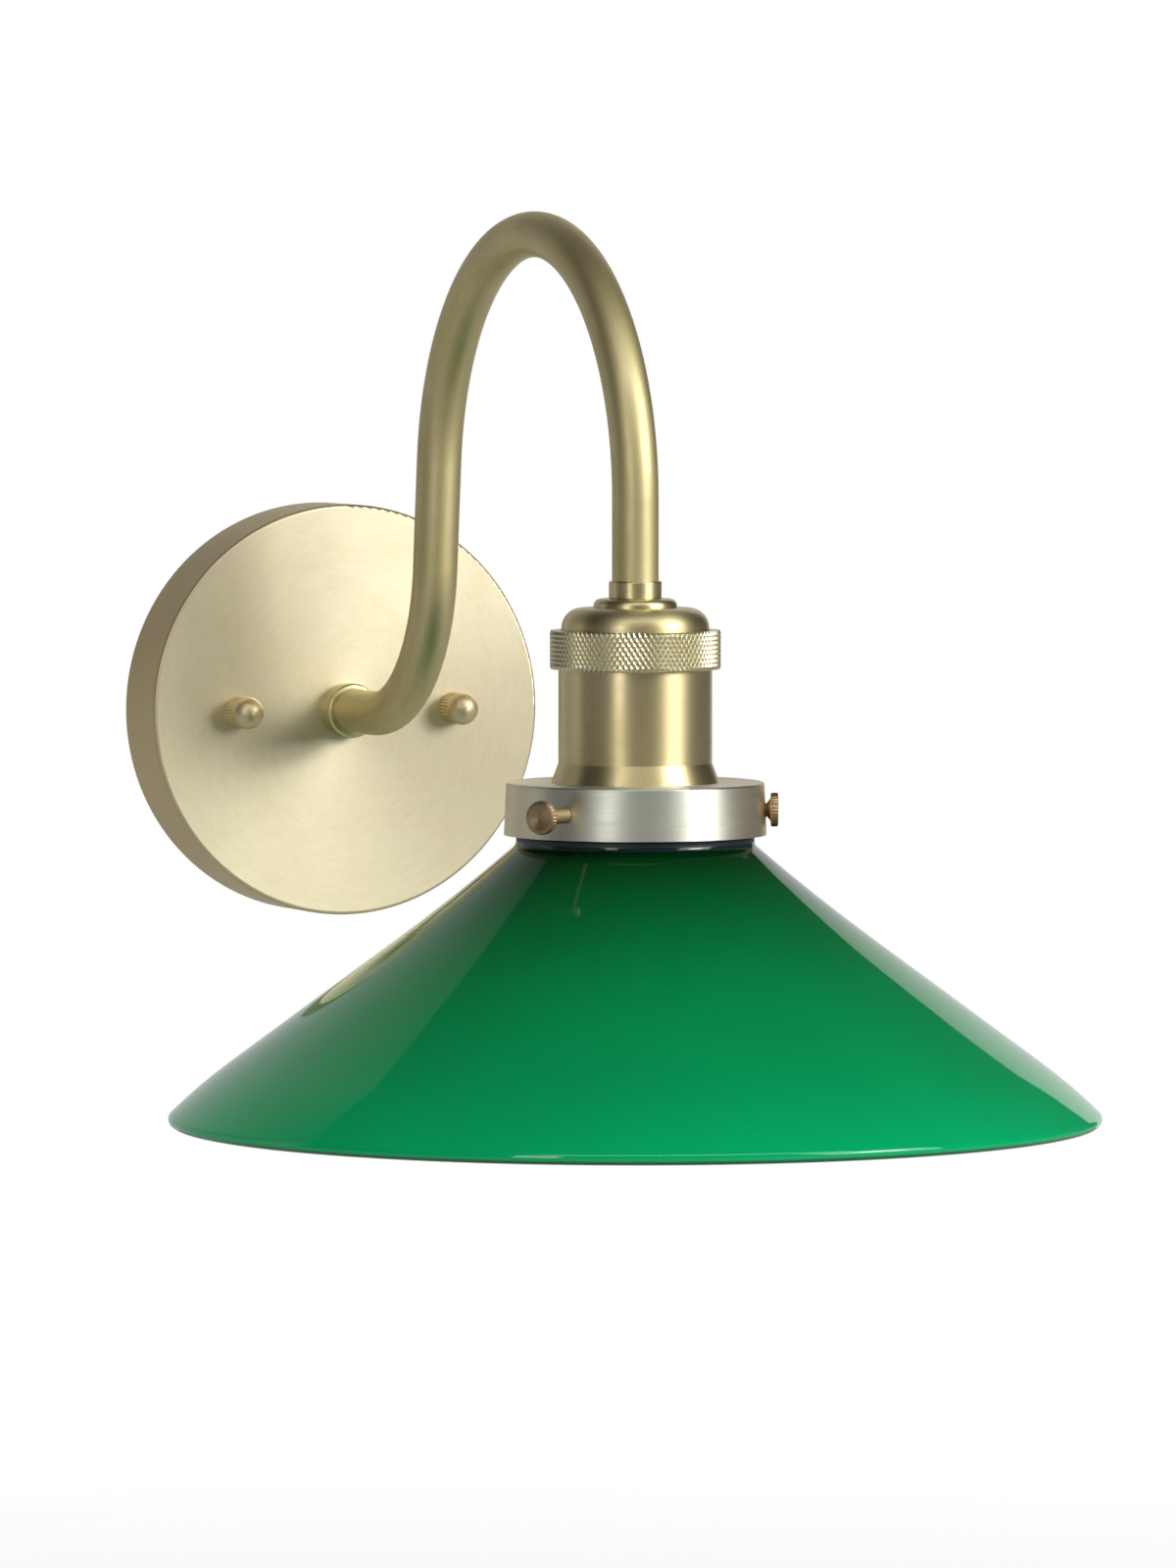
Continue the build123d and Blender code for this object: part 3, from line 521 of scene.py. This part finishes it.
def brushed_brass(name, colour, stain, roughness, axis=None, centre=(0, 0, 0), spread=0.35, anisotropy=0.6,
                  depth=0.000004, fine=2600.0, arc=0.004, lacquer=0.25, wall=None, turned_away=None):
    """Brass brushed while it turns about an axis, or drawn along the arm where axis is None.
    fine is how many lines there are in a metre, and arc sets how short they are. wall is the radius
    beyond which the colour turns darker and warmer, and the colour there: painted shade on a side wall.
    turned_away is a direction, and the colour of the parts that don't face that way; the parts that
    face it keep the paler colour, a painted highlight."""
    material, tree = new_material(name)
    point = tree.nodes.new("ShaderNodeTexCoord").outputs["Object"]
    centred = vector_calc(tree, "SUBTRACT", point, centre)
    if axis is None:
        across = add_node(tree, "ShaderNodeSeparateXYZ", {0: point}).outputs[0]
        round_point = vector_calc(tree, "MULTIPLY", point, (0, arc, arc))
    else:
        along = vector_calc(tree, "DOT_PRODUCT", centred, axis)
        outwards = vector_calc(tree, "SUBTRACT", centred, scaled(tree, axis, along))
        across = calc(tree, "ADD", vector_calc(tree, "LENGTH", outwards), along)
        turn = vector_calc(tree, "NORMALIZE", outwards)
        round_point = vector_calc(tree, "MULTIPLY", turn, (arc, arc, arc))
    lines = add_node(tree, "ShaderNodeGroup", node_tree=lines_group)
    tree.links.new(round_point, lines.inputs["Round"])
    tree.links.new(across, lines.inputs["Across"])
    tree.links.new(point, lines.inputs["Place"])
    lines.inputs["Colour"].default_value = (*colour, 1)
    lines.inputs["Stain"].default_value = (*stain, 1)
    lines.inputs["Roughness"].default_value = roughness
    lines.inputs["Roughness spread"].default_value = spread
    lines.inputs["Fine"].default_value = fine
    bump = add_node(tree, "ShaderNodeBump", {
        "Height": lines.outputs["Height"],
        "Strength": 0.7,
        "Distance": depth,
    })
    brass = lines.outputs["Colour"]
    # Beyond the wall's radius the colour turns darker and warmer: painted shade on the side wall.
    if wall:
        wall_start, wall_colour = wall
        from_axis = vector_calc(tree, "LENGTH", outwards)
        painted_wall_shade = spread_between(tree, from_axis, wall_start - wall_shade_fade, wall_start, 0, 1)
        brass = mixed_colour(tree, painted_wall_shade, brass, (*wall_colour, 1))
    # Parts turned away from the given direction take the other colour; the parts facing it keep the paler
    # colour, a painted highlight.
    if turned_away:
        sheen_side, beside_sheen_colour = turned_away
        facing = vector_calc(tree, "DOT_PRODUCT", turn, sheen_side)
        off_sheen = spread_between(tree, facing, 0.85, 0.35, 0, 1)
        brass = mixed_colour(tree, off_sheen, brass, (*beside_sheen_colour, 1))
    shader = add_node(tree, "ShaderNodeBsdfPrincipled", {
        "Base Color": brass,
        "Metallic": 1.0,
        "Roughness": lines.outputs["Roughness"],
        "Coat Weight": lacquer,
        "Coat Roughness": 0.28,
        "Normal": bump.outputs[0],
    })
    if axis is not None:
        normal = tree.nodes.new("ShaderNodeNewGeometry").outputs["Normal"]
        groove = vector_calc(tree, "CROSS_PRODUCT", axis, centred)
        across_groove = vector_calc(tree, "NORMALIZE", vector_calc(tree, "CROSS_PRODUCT", groove, normal))
        tree.links.new(across_groove, shader.inputs["Tangent"])
        shader.inputs["Anisotropic"].default_value = anisotropy
    add_node(tree, "ShaderNodeOutputMaterial", {"Surface": shader.outputs[0]})
    return material


out_of_wall = (0, 1, 0)
canopy_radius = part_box("wall_canopy")[1].x
# The pan's side wall is coloured darker and warmer than its face: painted shade on the side.
finish(brushed_brass(
    "canopy_turned_brass", (0.85, 0.76, 0.54), (0.76, 0.67, 0.45), 0.47, out_of_wall, anisotropy=0.36,
    fine=2400.0, arc=0.010, depth=0.000007, wall=(canopy_radius - 0.0002, (0.70, 0.56, 0.29)),
), "wall_canopy")

# Cap nuts: turned from brass bar with a straight knurl and a polished ball end. They screw onto
# the two studs and hold the canopy on the wall.
for side in ("left", "right"):
    finish(brushed_brass(
        f"cap_nut_brass_{side}", (0.84, 0.73, 0.46), (0.74, 0.61, 0.33), 0.48, out_of_wall,
        middle_of(f"cap_nut_{side}"), anisotropy=0.3, fine=4000.0, arc=0.001,
    ), f"cap_nut_{side}")

# Arm nipple, lock washer, lock nut and bushing: the threaded tube that clamps arm and collar to the
# canopy from behind, and the moulded bushing that keeps its end off the wires.
nipple_pitch = 0.00094
nipple_thread_depth = 0.0005
out_of_wall_upright = (math.radians(90), 0, 0)
finish(worn_material(
    "nipple_thread", (0.63, 0.63, 0.62), (0.50, 0.49, 0.46), 1.0, 0.32,
    thread=(nipple_pitch, nipple_thread_depth, (0, 0, 0), out_of_wall_upright),
), "arm_nipple")
finish(zinc, "lock_washer", "arm_lock_nut")
finish(worn_material(
    "bushing_nylon", (0.02, 0.02, 0.021), (0.035, 0.035, 0.035), 0.0, 0.42, scale=400.0,
), "nipple_bushing")

# Arm and its collar: half-inch brass tube, bent cold, brushed along its length and lacquered. The
# collar is turned, with a rounded front lip.
finish(brushed_brass(
    "arm_brushed_brass", (0.77, 0.67, 0.37), (0.66, 0.56, 0.27), 0.52, fine=2600.0, arc=0.05,
), "arm_tube")
finish(brushed_brass(
    "collar_turned_brass", (0.78, 0.68, 0.38), (0.66, 0.56, 0.27), 0.36, out_of_wall, anisotropy=0.4,
    fine=3000.0, arc=0.002,
), "arm_collar")

# Leads and connectors: two stranded wires in plastic insulation, joined to the house wires behind
# the canopy by moulded twist-on connectors.
finish(worn_material(
    "black_insulation", (0.018, 0.018, 0.02), (0.03, 0.03, 0.03), 0.0, 0.38, scale=300.0,
), "lead_wire_hot")
finish(worn_material(
    "white_insulation", (0.78, 0.77, 0.74), (0.70, 0.69, 0.65), 0.0, 0.40, scale=300.0,
), "lead_wire_neutral")
finish(worn_material(
    "orange_shell", (0.83, 0.22, 0.02), (0.74, 0.17, 0.02), 0.0, 0.36, scale=200.0, depth=0.00004,
), "wire_connectors")

# Neck collar, seat ring and socket cap: the turned collar that ends the arm, a stepped washer and
# the cap, spun from brass sheet and brushed round its axis.
upright = (0, 0, 1)
socket_middle = middle_of("socket_shell")
socket_axis = Vector((0, socket_middle.y, 0))
finish(brushed_brass(
    "neck_turned_brass", (0.79, 0.69, 0.40), (0.67, 0.57, 0.29), 0.38, upright, socket_axis, anisotropy=0.5,
    fine=3000.0, arc=0.0012,
), "neck_collar", "seat_ring")
finish(brushed_brass(
    "cap_spun_brass", (0.79, 0.69, 0.40), (0.68, 0.58, 0.29), 0.44, upright, socket_axis, anisotropy=0.6,
    fine=3000.0, arc=0.0015,
), "socket_cap")
finish(zinc, "cap_lock_nut", "socket_nipple")

# Socket core: a glazed ceramic body with brass terminals and contact, a screw shell of rolled brass
# for the lamp, and rivets that hold them.
finish(worn_material(
    "glazed_ceramic", (0.80, 0.79, 0.74), (0.74, 0.73, 0.67), 0.0, 0.24, scale=60.0, coat=0.4,
), "socket_insulator")
finish(worn_material(
    "contact_brass", (0.78, 0.62, 0.32), (0.62, 0.46, 0.20), 1.0, 0.33, scale=200.0,
), "centre_contact", "terminal_plate_hot", "terminal_plate_neutral", "terminal_screws", "socket_rivets")
lamp_thread_pitch = 0.00363
lamp_thread_length = 0.0200
lamp_thread_depth = 0.0009
lamp_thread_fade = 0.0015
lamp_thread_rows = 56
same_place = 1e-6


def merged_shape(node):
    """A merged copy of a CAD node's mesh, to work on."""
    shape = bmesh.new()
    shape.from_mesh(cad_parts[node].data)
    bmesh.ops.remove_doubles(shape, verts=shape.verts, dist=same_place)
    return shape


def finished_mesh(shape, name, sharp_angle=35):
    """A plain mesh of a worked shape, smooth but for its sharp edges."""
    mesh = bpy.data.meshes.new(name)
    shape.to_mesh(mesh)
    shape.free()
    mesh.shade_smooth()
    mesh.set_sharp_from_angle(angle=math.radians(sharp_angle))
    return mesh


liner = merged_shape("screw_shell")
liner_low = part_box("screw_shell")[0].z
liner_rolled_top = liner_low + lamp_thread_length
for row in range(1, lamp_thread_rows):
    bmesh.ops.bisect_plane(
        liner, geom=[*liner.verts, *liner.edges, *liner.faces], dist=1e-7, plane_no=(0, 0, 1),
        plane_co=(0, 0, liner_low + lamp_thread_length * row / lamp_thread_rows),
    )
for vert in liner.verts:
    from_end = min(vert.co.z - liner_low, liner_rolled_top - vert.co.z)
    if from_end > 0:
        outwards = Vector((vert.co.x, vert.co.y - socket_axis.y, 0)).normalized()
        phase = 2 * math.pi * (vert.co.z - liner_low) / lamp_thread_pitch - math.atan2(outwards.y, outwards.x)
        rolled_in = lamp_thread_depth * (0.5 - 0.5 * math.cos(phase)) * min(1, from_end / lamp_thread_fade)
        vert.co -= outwards * rolled_in
screw_liner = new_object("rolled_screw_shell", finished_mesh(liner, "rolled_screw_shell"))
screw_liner.data.materials.append(worn_material(
    "rolled_thread_brass", (0.80, 0.66, 0.36), (0.64, 0.50, 0.24), 1.0, 0.28,
))
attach(screw_liner, "fixture")
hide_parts("screw_shell")

# Socket shell: drawn brass tube with a flared skirt, brushed round its axis and lacquered. The
# knurled ring screws onto its upper end.
finish(brushed_brass(
    "shell_brushed_brass", (0.79, 0.67, 0.38), (0.69, 0.57, 0.29), 0.39, upright, socket_axis,
    anisotropy=0.62, fine=2800.0, arc=0.0012,
), "socket_shell")

# Knurled ring: turned brass that screws onto the shell and clamps the cap. A diamond knurl is
# rolled round it, with a narrow plain land above and below.
ring_low, ring_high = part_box("knurled_ring")
ring_radius = (ring_high.x - ring_low.x) / 2
ring_bore = 0.0212
ring_lip_bore = 0.0203
ring_lip = 0.0012
ring_land = 0.0004
ring_corner = 0.0003
knurl_around = 96
knurl_rows = 8
knurl_depth = 0.00034
knurl_flat = 0.3


def turned_mesh(name, profile, axis_point, segments=192):
    """A closed solid turned about an upright axis, from (radius, height) points of its section."""
    shape = bmesh.new()
    rings = []
    for index in range(segments):
        turn = 2 * math.pi * index / segments
        rings.append([
            shape.verts.new((
                axis_point.x + radius * math.cos(turn),
                axis_point.y + radius * math.sin(turn),
                height,
            ))
            for radius, height in profile
        ])
    for index in range(segments):
        here = rings[index]
        there = rings[(index + 1) % segments]
        for step in range(len(profile)):
            after = (step + 1) % len(profile)
            shape.faces.new((here[step], there[step], there[after], here[after]))
    bmesh.ops.recalc_face_normals(shape, faces=shape.faces)
    return finished_mesh(shape, name, sharp_angle=28)


knurl_tree, knurl_in, knurl_out = new_tree("diamond_knurl", [
    ("Around", "Int"), ("Rows", "Int"), ("Radius", "Float"), ("Bottom", "Float"), ("Band", "Float"),
    ("Depth", "Float"), ("Flat", "Float"), ("Centre", "Vector"), ("Material", "Material"),
])
knurl_points = add_node(knurl_tree, "GeometryNodeMeshLine", {
    "Count": calc(knurl_tree, "MULTIPLY", knurl_in["Around"], knurl_in["Rows"]),
})
knurl_index = knurl_tree.nodes.new("GeometryNodeInputIndex").outputs[0]
knurl_row = calc(knurl_tree, "FLOOR", calc(knurl_tree, "DIVIDE", knurl_index, knurl_in["Around"]))
knurl_half_step = calc(knurl_tree, "MULTIPLY", calc(knurl_tree, "MODULO", knurl_row, 2.0), 0.5)
knurl_step = calc(knurl_tree, "DIVIDE", 2 * math.pi, knurl_in["Around"])
knurl_turn = calc(knurl_tree, "MULTIPLY", calc(knurl_tree, "ADD", knurl_index, knurl_half_step), knurl_step)
knurl_row_height = calc(knurl_tree, "DIVIDE", knurl_in["Band"], knurl_in["Rows"])
knurl_row_middle = calc(knurl_tree, "ADD", knurl_row, 0.5)
knurl_middle = calc(knurl_tree, "SUBTRACT", knurl_in["Radius"], knurl_in["Depth"])
knurl_at = add_node(knurl_tree, "ShaderNodeCombineXYZ", {
    0: calc(knurl_tree, "MULTIPLY", knurl_middle, calc(knurl_tree, "COSINE", knurl_turn)),
    1: calc(knurl_tree, "MULTIPLY", knurl_middle, calc(knurl_tree, "SINE", knurl_turn)),
    2: calc(knurl_tree, "MULTIPLY_ADD", knurl_row_middle, knurl_row_height, knurl_in["Bottom"]),
})
knurl_placed = add_node(knurl_tree, "GeometryNodeSetPosition", {
    "Geometry": knurl_points.outputs["Mesh"],
    "Position": vector_calc(knurl_tree, "ADD", knurl_at.outputs[0], knurl_in["Centre"]),
})
knurl_tooth = add_node(knurl_tree, "GeometryNodeMeshCone", {
    "Vertices": 4,
    "Radius Top": knurl_in["Flat"],
    "Radius Bottom": 1.0,
    "Depth": 1.0,
})
knurl_width = calc(knurl_tree, "MULTIPLY", knurl_step, knurl_in["Radius"])
knurl_teeth = add_node(knurl_tree, "GeometryNodeInstanceOnPoints", {
    "Points": knurl_placed.outputs[0],
    "Instance": knurl_tooth.outputs["Mesh"],
    "Rotation": add_node(knurl_tree, "ShaderNodeCombineXYZ", {
        0: math.pi / 2,
        2: calc(knurl_tree, "ADD", knurl_turn, math.pi / 2),
    }).outputs[0],
    "Scale": add_node(knurl_tree, "ShaderNodeCombineXYZ", {
        0: calc(knurl_tree, "MULTIPLY", knurl_width, 0.5),
        1: knurl_row_height,
        2: knurl_in["Depth"],
    }).outputs[0],
})
knurl_real = add_node(knurl_tree, "GeometryNodeRealizeInstances", {0: knurl_teeth.outputs[0]})
knurl_whole = knurl_tree.nodes.new("GeometryNodeJoinGeometry")
knurl_tree.links.new(knurl_in["Geometry"], knurl_whole.inputs[0])
knurl_tree.links.new(knurl_real.outputs[0], knurl_whole.inputs[0])
knurl_done = add_node(knurl_tree, "GeometryNodeSetMaterial", {
    "Geometry": knurl_whole.outputs[0],
    "Material": knurl_in["Material"],
})
knurl_tree.links.new(knurl_done.outputs[0], knurl_out["Geometry"])

ring_root = ring_radius - knurl_depth
ring_body = turned_mesh("knurled_ring_body", [
    (ring_bore, ring_low.z),
    (ring_root - ring_corner, ring_low.z),
    (ring_root, ring_low.z + ring_corner),
    (ring_root, ring_high.z - ring_corner),
    (ring_root - ring_corner, ring_high.z),
    (ring_lip_bore, ring_high.z),
    (ring_lip_bore, ring_high.z - ring_lip),
    (ring_bore, ring_high.z - ring_lip),
], socket_axis)
ring_brass = brushed_brass(
    "knurled_brass", (0.83, 0.76, 0.52), (0.71, 0.63, 0.38), 0.32, upright, socket_axis, anisotropy=0.2,
    fine=3000.0, arc=0.0012,
)
ring = new_object("diamond_knurled_ring", grown_mesh("diamond_knurl", ring_body, knurl_tree, {
    "Around": knurl_around,
    "Rows": knurl_rows,
    "Radius": ring_radius,
    "Bottom": ring_low.z + ring_land,
    "Band": ring_high.z - ring_low.z - 2 * ring_land,
    "Depth": knurl_depth,
    "Flat": knurl_flat,
    "Centre": socket_axis,
    "Material": ring_brass,
}))
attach(ring, "knurled_ring")
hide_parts("knurled_ring")

# Shade holder and its ring nut: a spun cup of paler brass with fine turned lines, clamped under the
# shell by a notched steel nut. It is painted palest where it faces the camera, a painted highlight, and
# warmer round its sides.
camera_facing_sheen = Vector((camera_back.x, camera_back.y, 0)).normalized()
finish(brushed_brass(
    "holder_pale_brass", (0.83, 0.84, 0.74), (0.71, 0.71, 0.59), 0.44, upright, socket_axis,
    anisotropy=0.55, spread=0.55, depth=0.000012, fine=2000.0, arc=0.0005,
    turned_away=(camera_facing_sheen, (0.90, 0.78, 0.53)),
), "shade_holder")
finish(zinc, "holder_ring_nut")

# Thumb screws: three brass screws through the holder's wall that carry the glass by its lip. Their
# heads are knurled and dished, and their shanks have a fine thread, cut up to the head.
screw_angles = {"front": -145.0, "side": -25.0, "back": 95.0}
screw_axis_point = Vector((0, socket_middle.y, middle_of("thumb_screw_front").z))
screw_tip = 0.02725
screw_radius = 0.00205
screw_chamfer = 0.0005
screw_pitch = 0.000794
screw_thread_depth = 0.00034
screw_head_height = 0.0029
screw_head_radius = 0.0046
screw_segments = 32
shank_margin = 0.00001
thread_into_head = 0.0004

for side, angle in screw_angles.items():
    turn = math.radians(angle)
    direction = Vector((math.cos(turn), math.sin(turn), 0))
    node = f"thumb_screw_{side}"
    corners = [Vector(corner) - screw_axis_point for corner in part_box(node)]
    along, across = ("x", "y") if abs(direction.x) >= 0.5 else ("y", "x")
    box_reach = max(abs(getattr(corner, along)) for corner in corners)
    head_share = screw_head_radius * abs(getattr(direction, across))
    face_reach = (box_reach - head_share) / abs(getattr(direction, along))
    shank_end = face_reach - screw_head_height
    head = merged_shape(node)
    shank = [
        face for face in head.faces
        if (face.calc_center_median() - screw_axis_point).dot(direction) < shank_end - shank_margin
    ]
    bmesh.ops.delete(head, geom=shank, context="FACES")
    bmesh.ops.holes_fill(head, edges=[edge for edge in head.edges if edge.is_boundary])
    bmesh.ops.recalc_face_normals(head, faces=head.faces)
    head_mesh = finished_mesh(head, f"thumb_screw_head_{side}")
    head_brass = brushed_brass(
        f"thumb_head_brass_{side}", (0.58, 0.42, 0.26), (0.42, 0.28, 0.15), 0.46, direction,
        screw_axis_point, anisotropy=0.7, fine=5000.0, arc=0.0004, lacquer=0.0,
    )
    thread_brass = brushed_brass(
        f"thumb_thread_brass_{side}", (0.54, 0.42, 0.23), (0.42, 0.31, 0.16), 0.62, direction,
        screw_axis_point, anisotropy=0.0, fine=5000.0, arc=0.0004, lacquer=0.0,
    )
    head_mesh.materials.append(head_brass)
    length = shank_end + thread_into_head - screw_tip
    screw_mesh = grown_mesh(f"screw_thread_{side}", head_mesh, thread_tree, {
        "Segments": screw_segments,
        "Rows": round(length / screw_pitch * thread_rows_per_turn),
        "Length": length,
        "Radius": screw_radius,
        "Pitch": screw_pitch,
        "Depth": screw_thread_depth,
        "Chamfer": screw_chamfer,
        "Place": screw_axis_point + direction * screw_tip,
        "Turn": (0, math.radians(90), turn),
        "Material": thread_brass,
    })
    screw = new_object(f"threaded_thumb_screw_{side}", screw_mesh)
    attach(screw, node)
    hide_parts(node)

# Glass shade: green glass cased over white opal, blown into a mould and fire polished at its rim. Its
# neck is ground where it stands in the holder.
shade_low, shade_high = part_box("glass_shade")
ground_edge = 0.0003
shade_segments = 288


def turned_section(node, axis_point):
    """The closed section of a turned CAD node, as (radius, height) points in order round it. They are
    read off its mesh, along the line where the turning starts. The outermost of its highest points
    comes first, so that the order is the same in each run."""
    shape = merged_shape(node)
    on_line = {
        vert for vert in shape.verts
        if abs(vert.co.y - axis_point.y) < same_place and vert.co.x > axis_point.x
    }
    first = max(on_line, key=lambda vert: (vert.co.z, vert.co.x))
    walked = [first]
    while True:
        nearby = [edge.other_vert(walked[-1]) for edge in walked[-1].link_edges]
        ahead = [vert for vert in nearby if vert in on_line and vert not in walked[-2:]]
        if ahead[0] is first:
            break
        walked.append(ahead[0])
    section = [(vert.co.x - axis_point.x, vert.co.z) for vert in walked]
    shape.free()
    return section


def height_colours(tree, height, stops):
    """A colour that changes with height, from (height, colour) stops."""
    low, high = stops[0][0], stops[-1][0]
    ramp = add_node(tree, "ShaderNodeValToRGB", {"Fac": spread_between(tree, height, low, high, 0, 1)})
    marks = ramp.color_ramp.elements
    while len(marks) < len(stops):
        marks.new(0.5)
    for mark, (place, colour) in zip(marks, stops):
        mark.position = (place - low) / (high - low)
        mark.color = (*colour, 1)
    return ramp.outputs[0]


def cased_glass(name, casing, lining, edge_colour, ground_above, axis_point):
    """Glossy glass: casing outside and round the rim, lining inside, each coloured by its height, and
    edge_colour under the rim. The part above ground_above is ground dull."""
    material, tree = new_material(name)
    point = tree.nodes.new("ShaderNodeTexCoord").outputs["Object"]
    height = add_node(tree, "ShaderNodeSeparateXYZ", {0: point}).outputs[2]
    centred = vector_calc(tree, "SUBTRACT", point, axis_point)
    outwards = vector_calc(tree, "NORMALIZE", vector_calc(tree, "MULTIPLY", centred, (1, 1, 0)))
    normal = tree.nodes.new("ShaderNodeNewGeometry").outputs["Normal"]
    faces_out = vector_calc(tree, "DOT_PRODUCT", normal, vector_calc(tree, "ADD", outwards, (0, 0, 0.5)))
    faces_up = vector_calc(tree, "DOT_PRODUCT", normal, (0, 0, 1))
    rim_share = spread_between(tree, faces_up, -0.30, -0.60, 0, 1)
    edged = mixed_colour(tree, rim_share, height_colours(tree, height, casing), (*edge_colour, 1))
    lining_share = spread_between(tree, faces_out, -0.85, -0.65, 1, 0)
    cased = mixed_colour(tree, lining_share, edged, height_colours(tree, height, lining))
    flow = vector_calc(tree, "MULTIPLY", point, (1, 1, 0.25))
    swirl = spread_between(tree, grain(tree, flow, 22.0, 3.0), 0.3, 0.7, 0.95, 1.05)
    wave = add_node(tree, "ShaderNodeBump", {
        "Height": grain(tree, flow, 30.0, 1.0),
        "Strength": 0.5,
        "Distance": 0.00012,
    })
    haze = spread_between(tree, grain(tree, point, 900.0, 2.0), 0.30, 0.75, 0.02, 0.07)
    ground_low, ground_high = ground_above - ground_edge, ground_above + ground_edge
    ground = spread_between(tree, height, ground_low, ground_high, 0, 0.42)
    shader = add_node(tree, "ShaderNodeBsdfPrincipled", {
        "Base Color": scaled(tree, cased, swirl),
        "Roughness": calc(tree, "ADD", haze, ground),
        "IOR": 1.5,
        "Normal": wave.outputs[0],
    })
    add_node(tree, "ShaderNodeOutputMaterial", {"Surface": shader.outputs[0]})
    return material


neck_ground_z = -0.0262
# The casing's colour darkens from the rim up to the neck: painted shade under the holder. The lining darkens
# towards the neck too, painted shade deep in the cone. Above neck_ground_z the glass is dark slate: painted
# shade and reflection under the holder.
green_over_opal = cased_glass("green_over_opal_glass", [
    (shade_low.z, (0.0, 0.360, 0.122)),
    (-0.0815, (0.0, 0.262, 0.080)),
    (-0.0610, (0.0, 0.198, 0.051)),
    (-0.0430, (0.0, 0.102, 0.024)),
    (-0.0320, (0.0, 0.046, 0.0075)),
    (-0.0275, (0.0, 0.016, 0.003)),
    (neck_ground_z, (0.014, 0.027, 0.036)),
    (shade_high.z, (0.014, 0.027, 0.036)),
], [
    (shade_low.z, (0.88, 0.89, 0.87)),
    (shade_high.z, (0.80, 0.81, 0.78)),
], (0.0, 0.090, 0.024), neck_ground_z, socket_axis)
shade_section = turned_section("glass_shade", socket_axis)
# The CAD mesh's coarser steps fall a little short of the full radius at the front, so the section is
# narrowed to its box.
shade_fit = (socket_axis.y - shade_low.y) / max(radius for radius, height in shade_section)
fitted_section = [(radius * shade_fit, height) for radius, height in shade_section]
shade_mesh = turned_mesh("cased_glass_shade", fitted_section, socket_axis, shade_segments)
shade_mesh.materials.append(green_over_opal)
shade = new_object("cased_glass_shade", shade_mesh)
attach(shade, "fixture")
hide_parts("glass_shade")
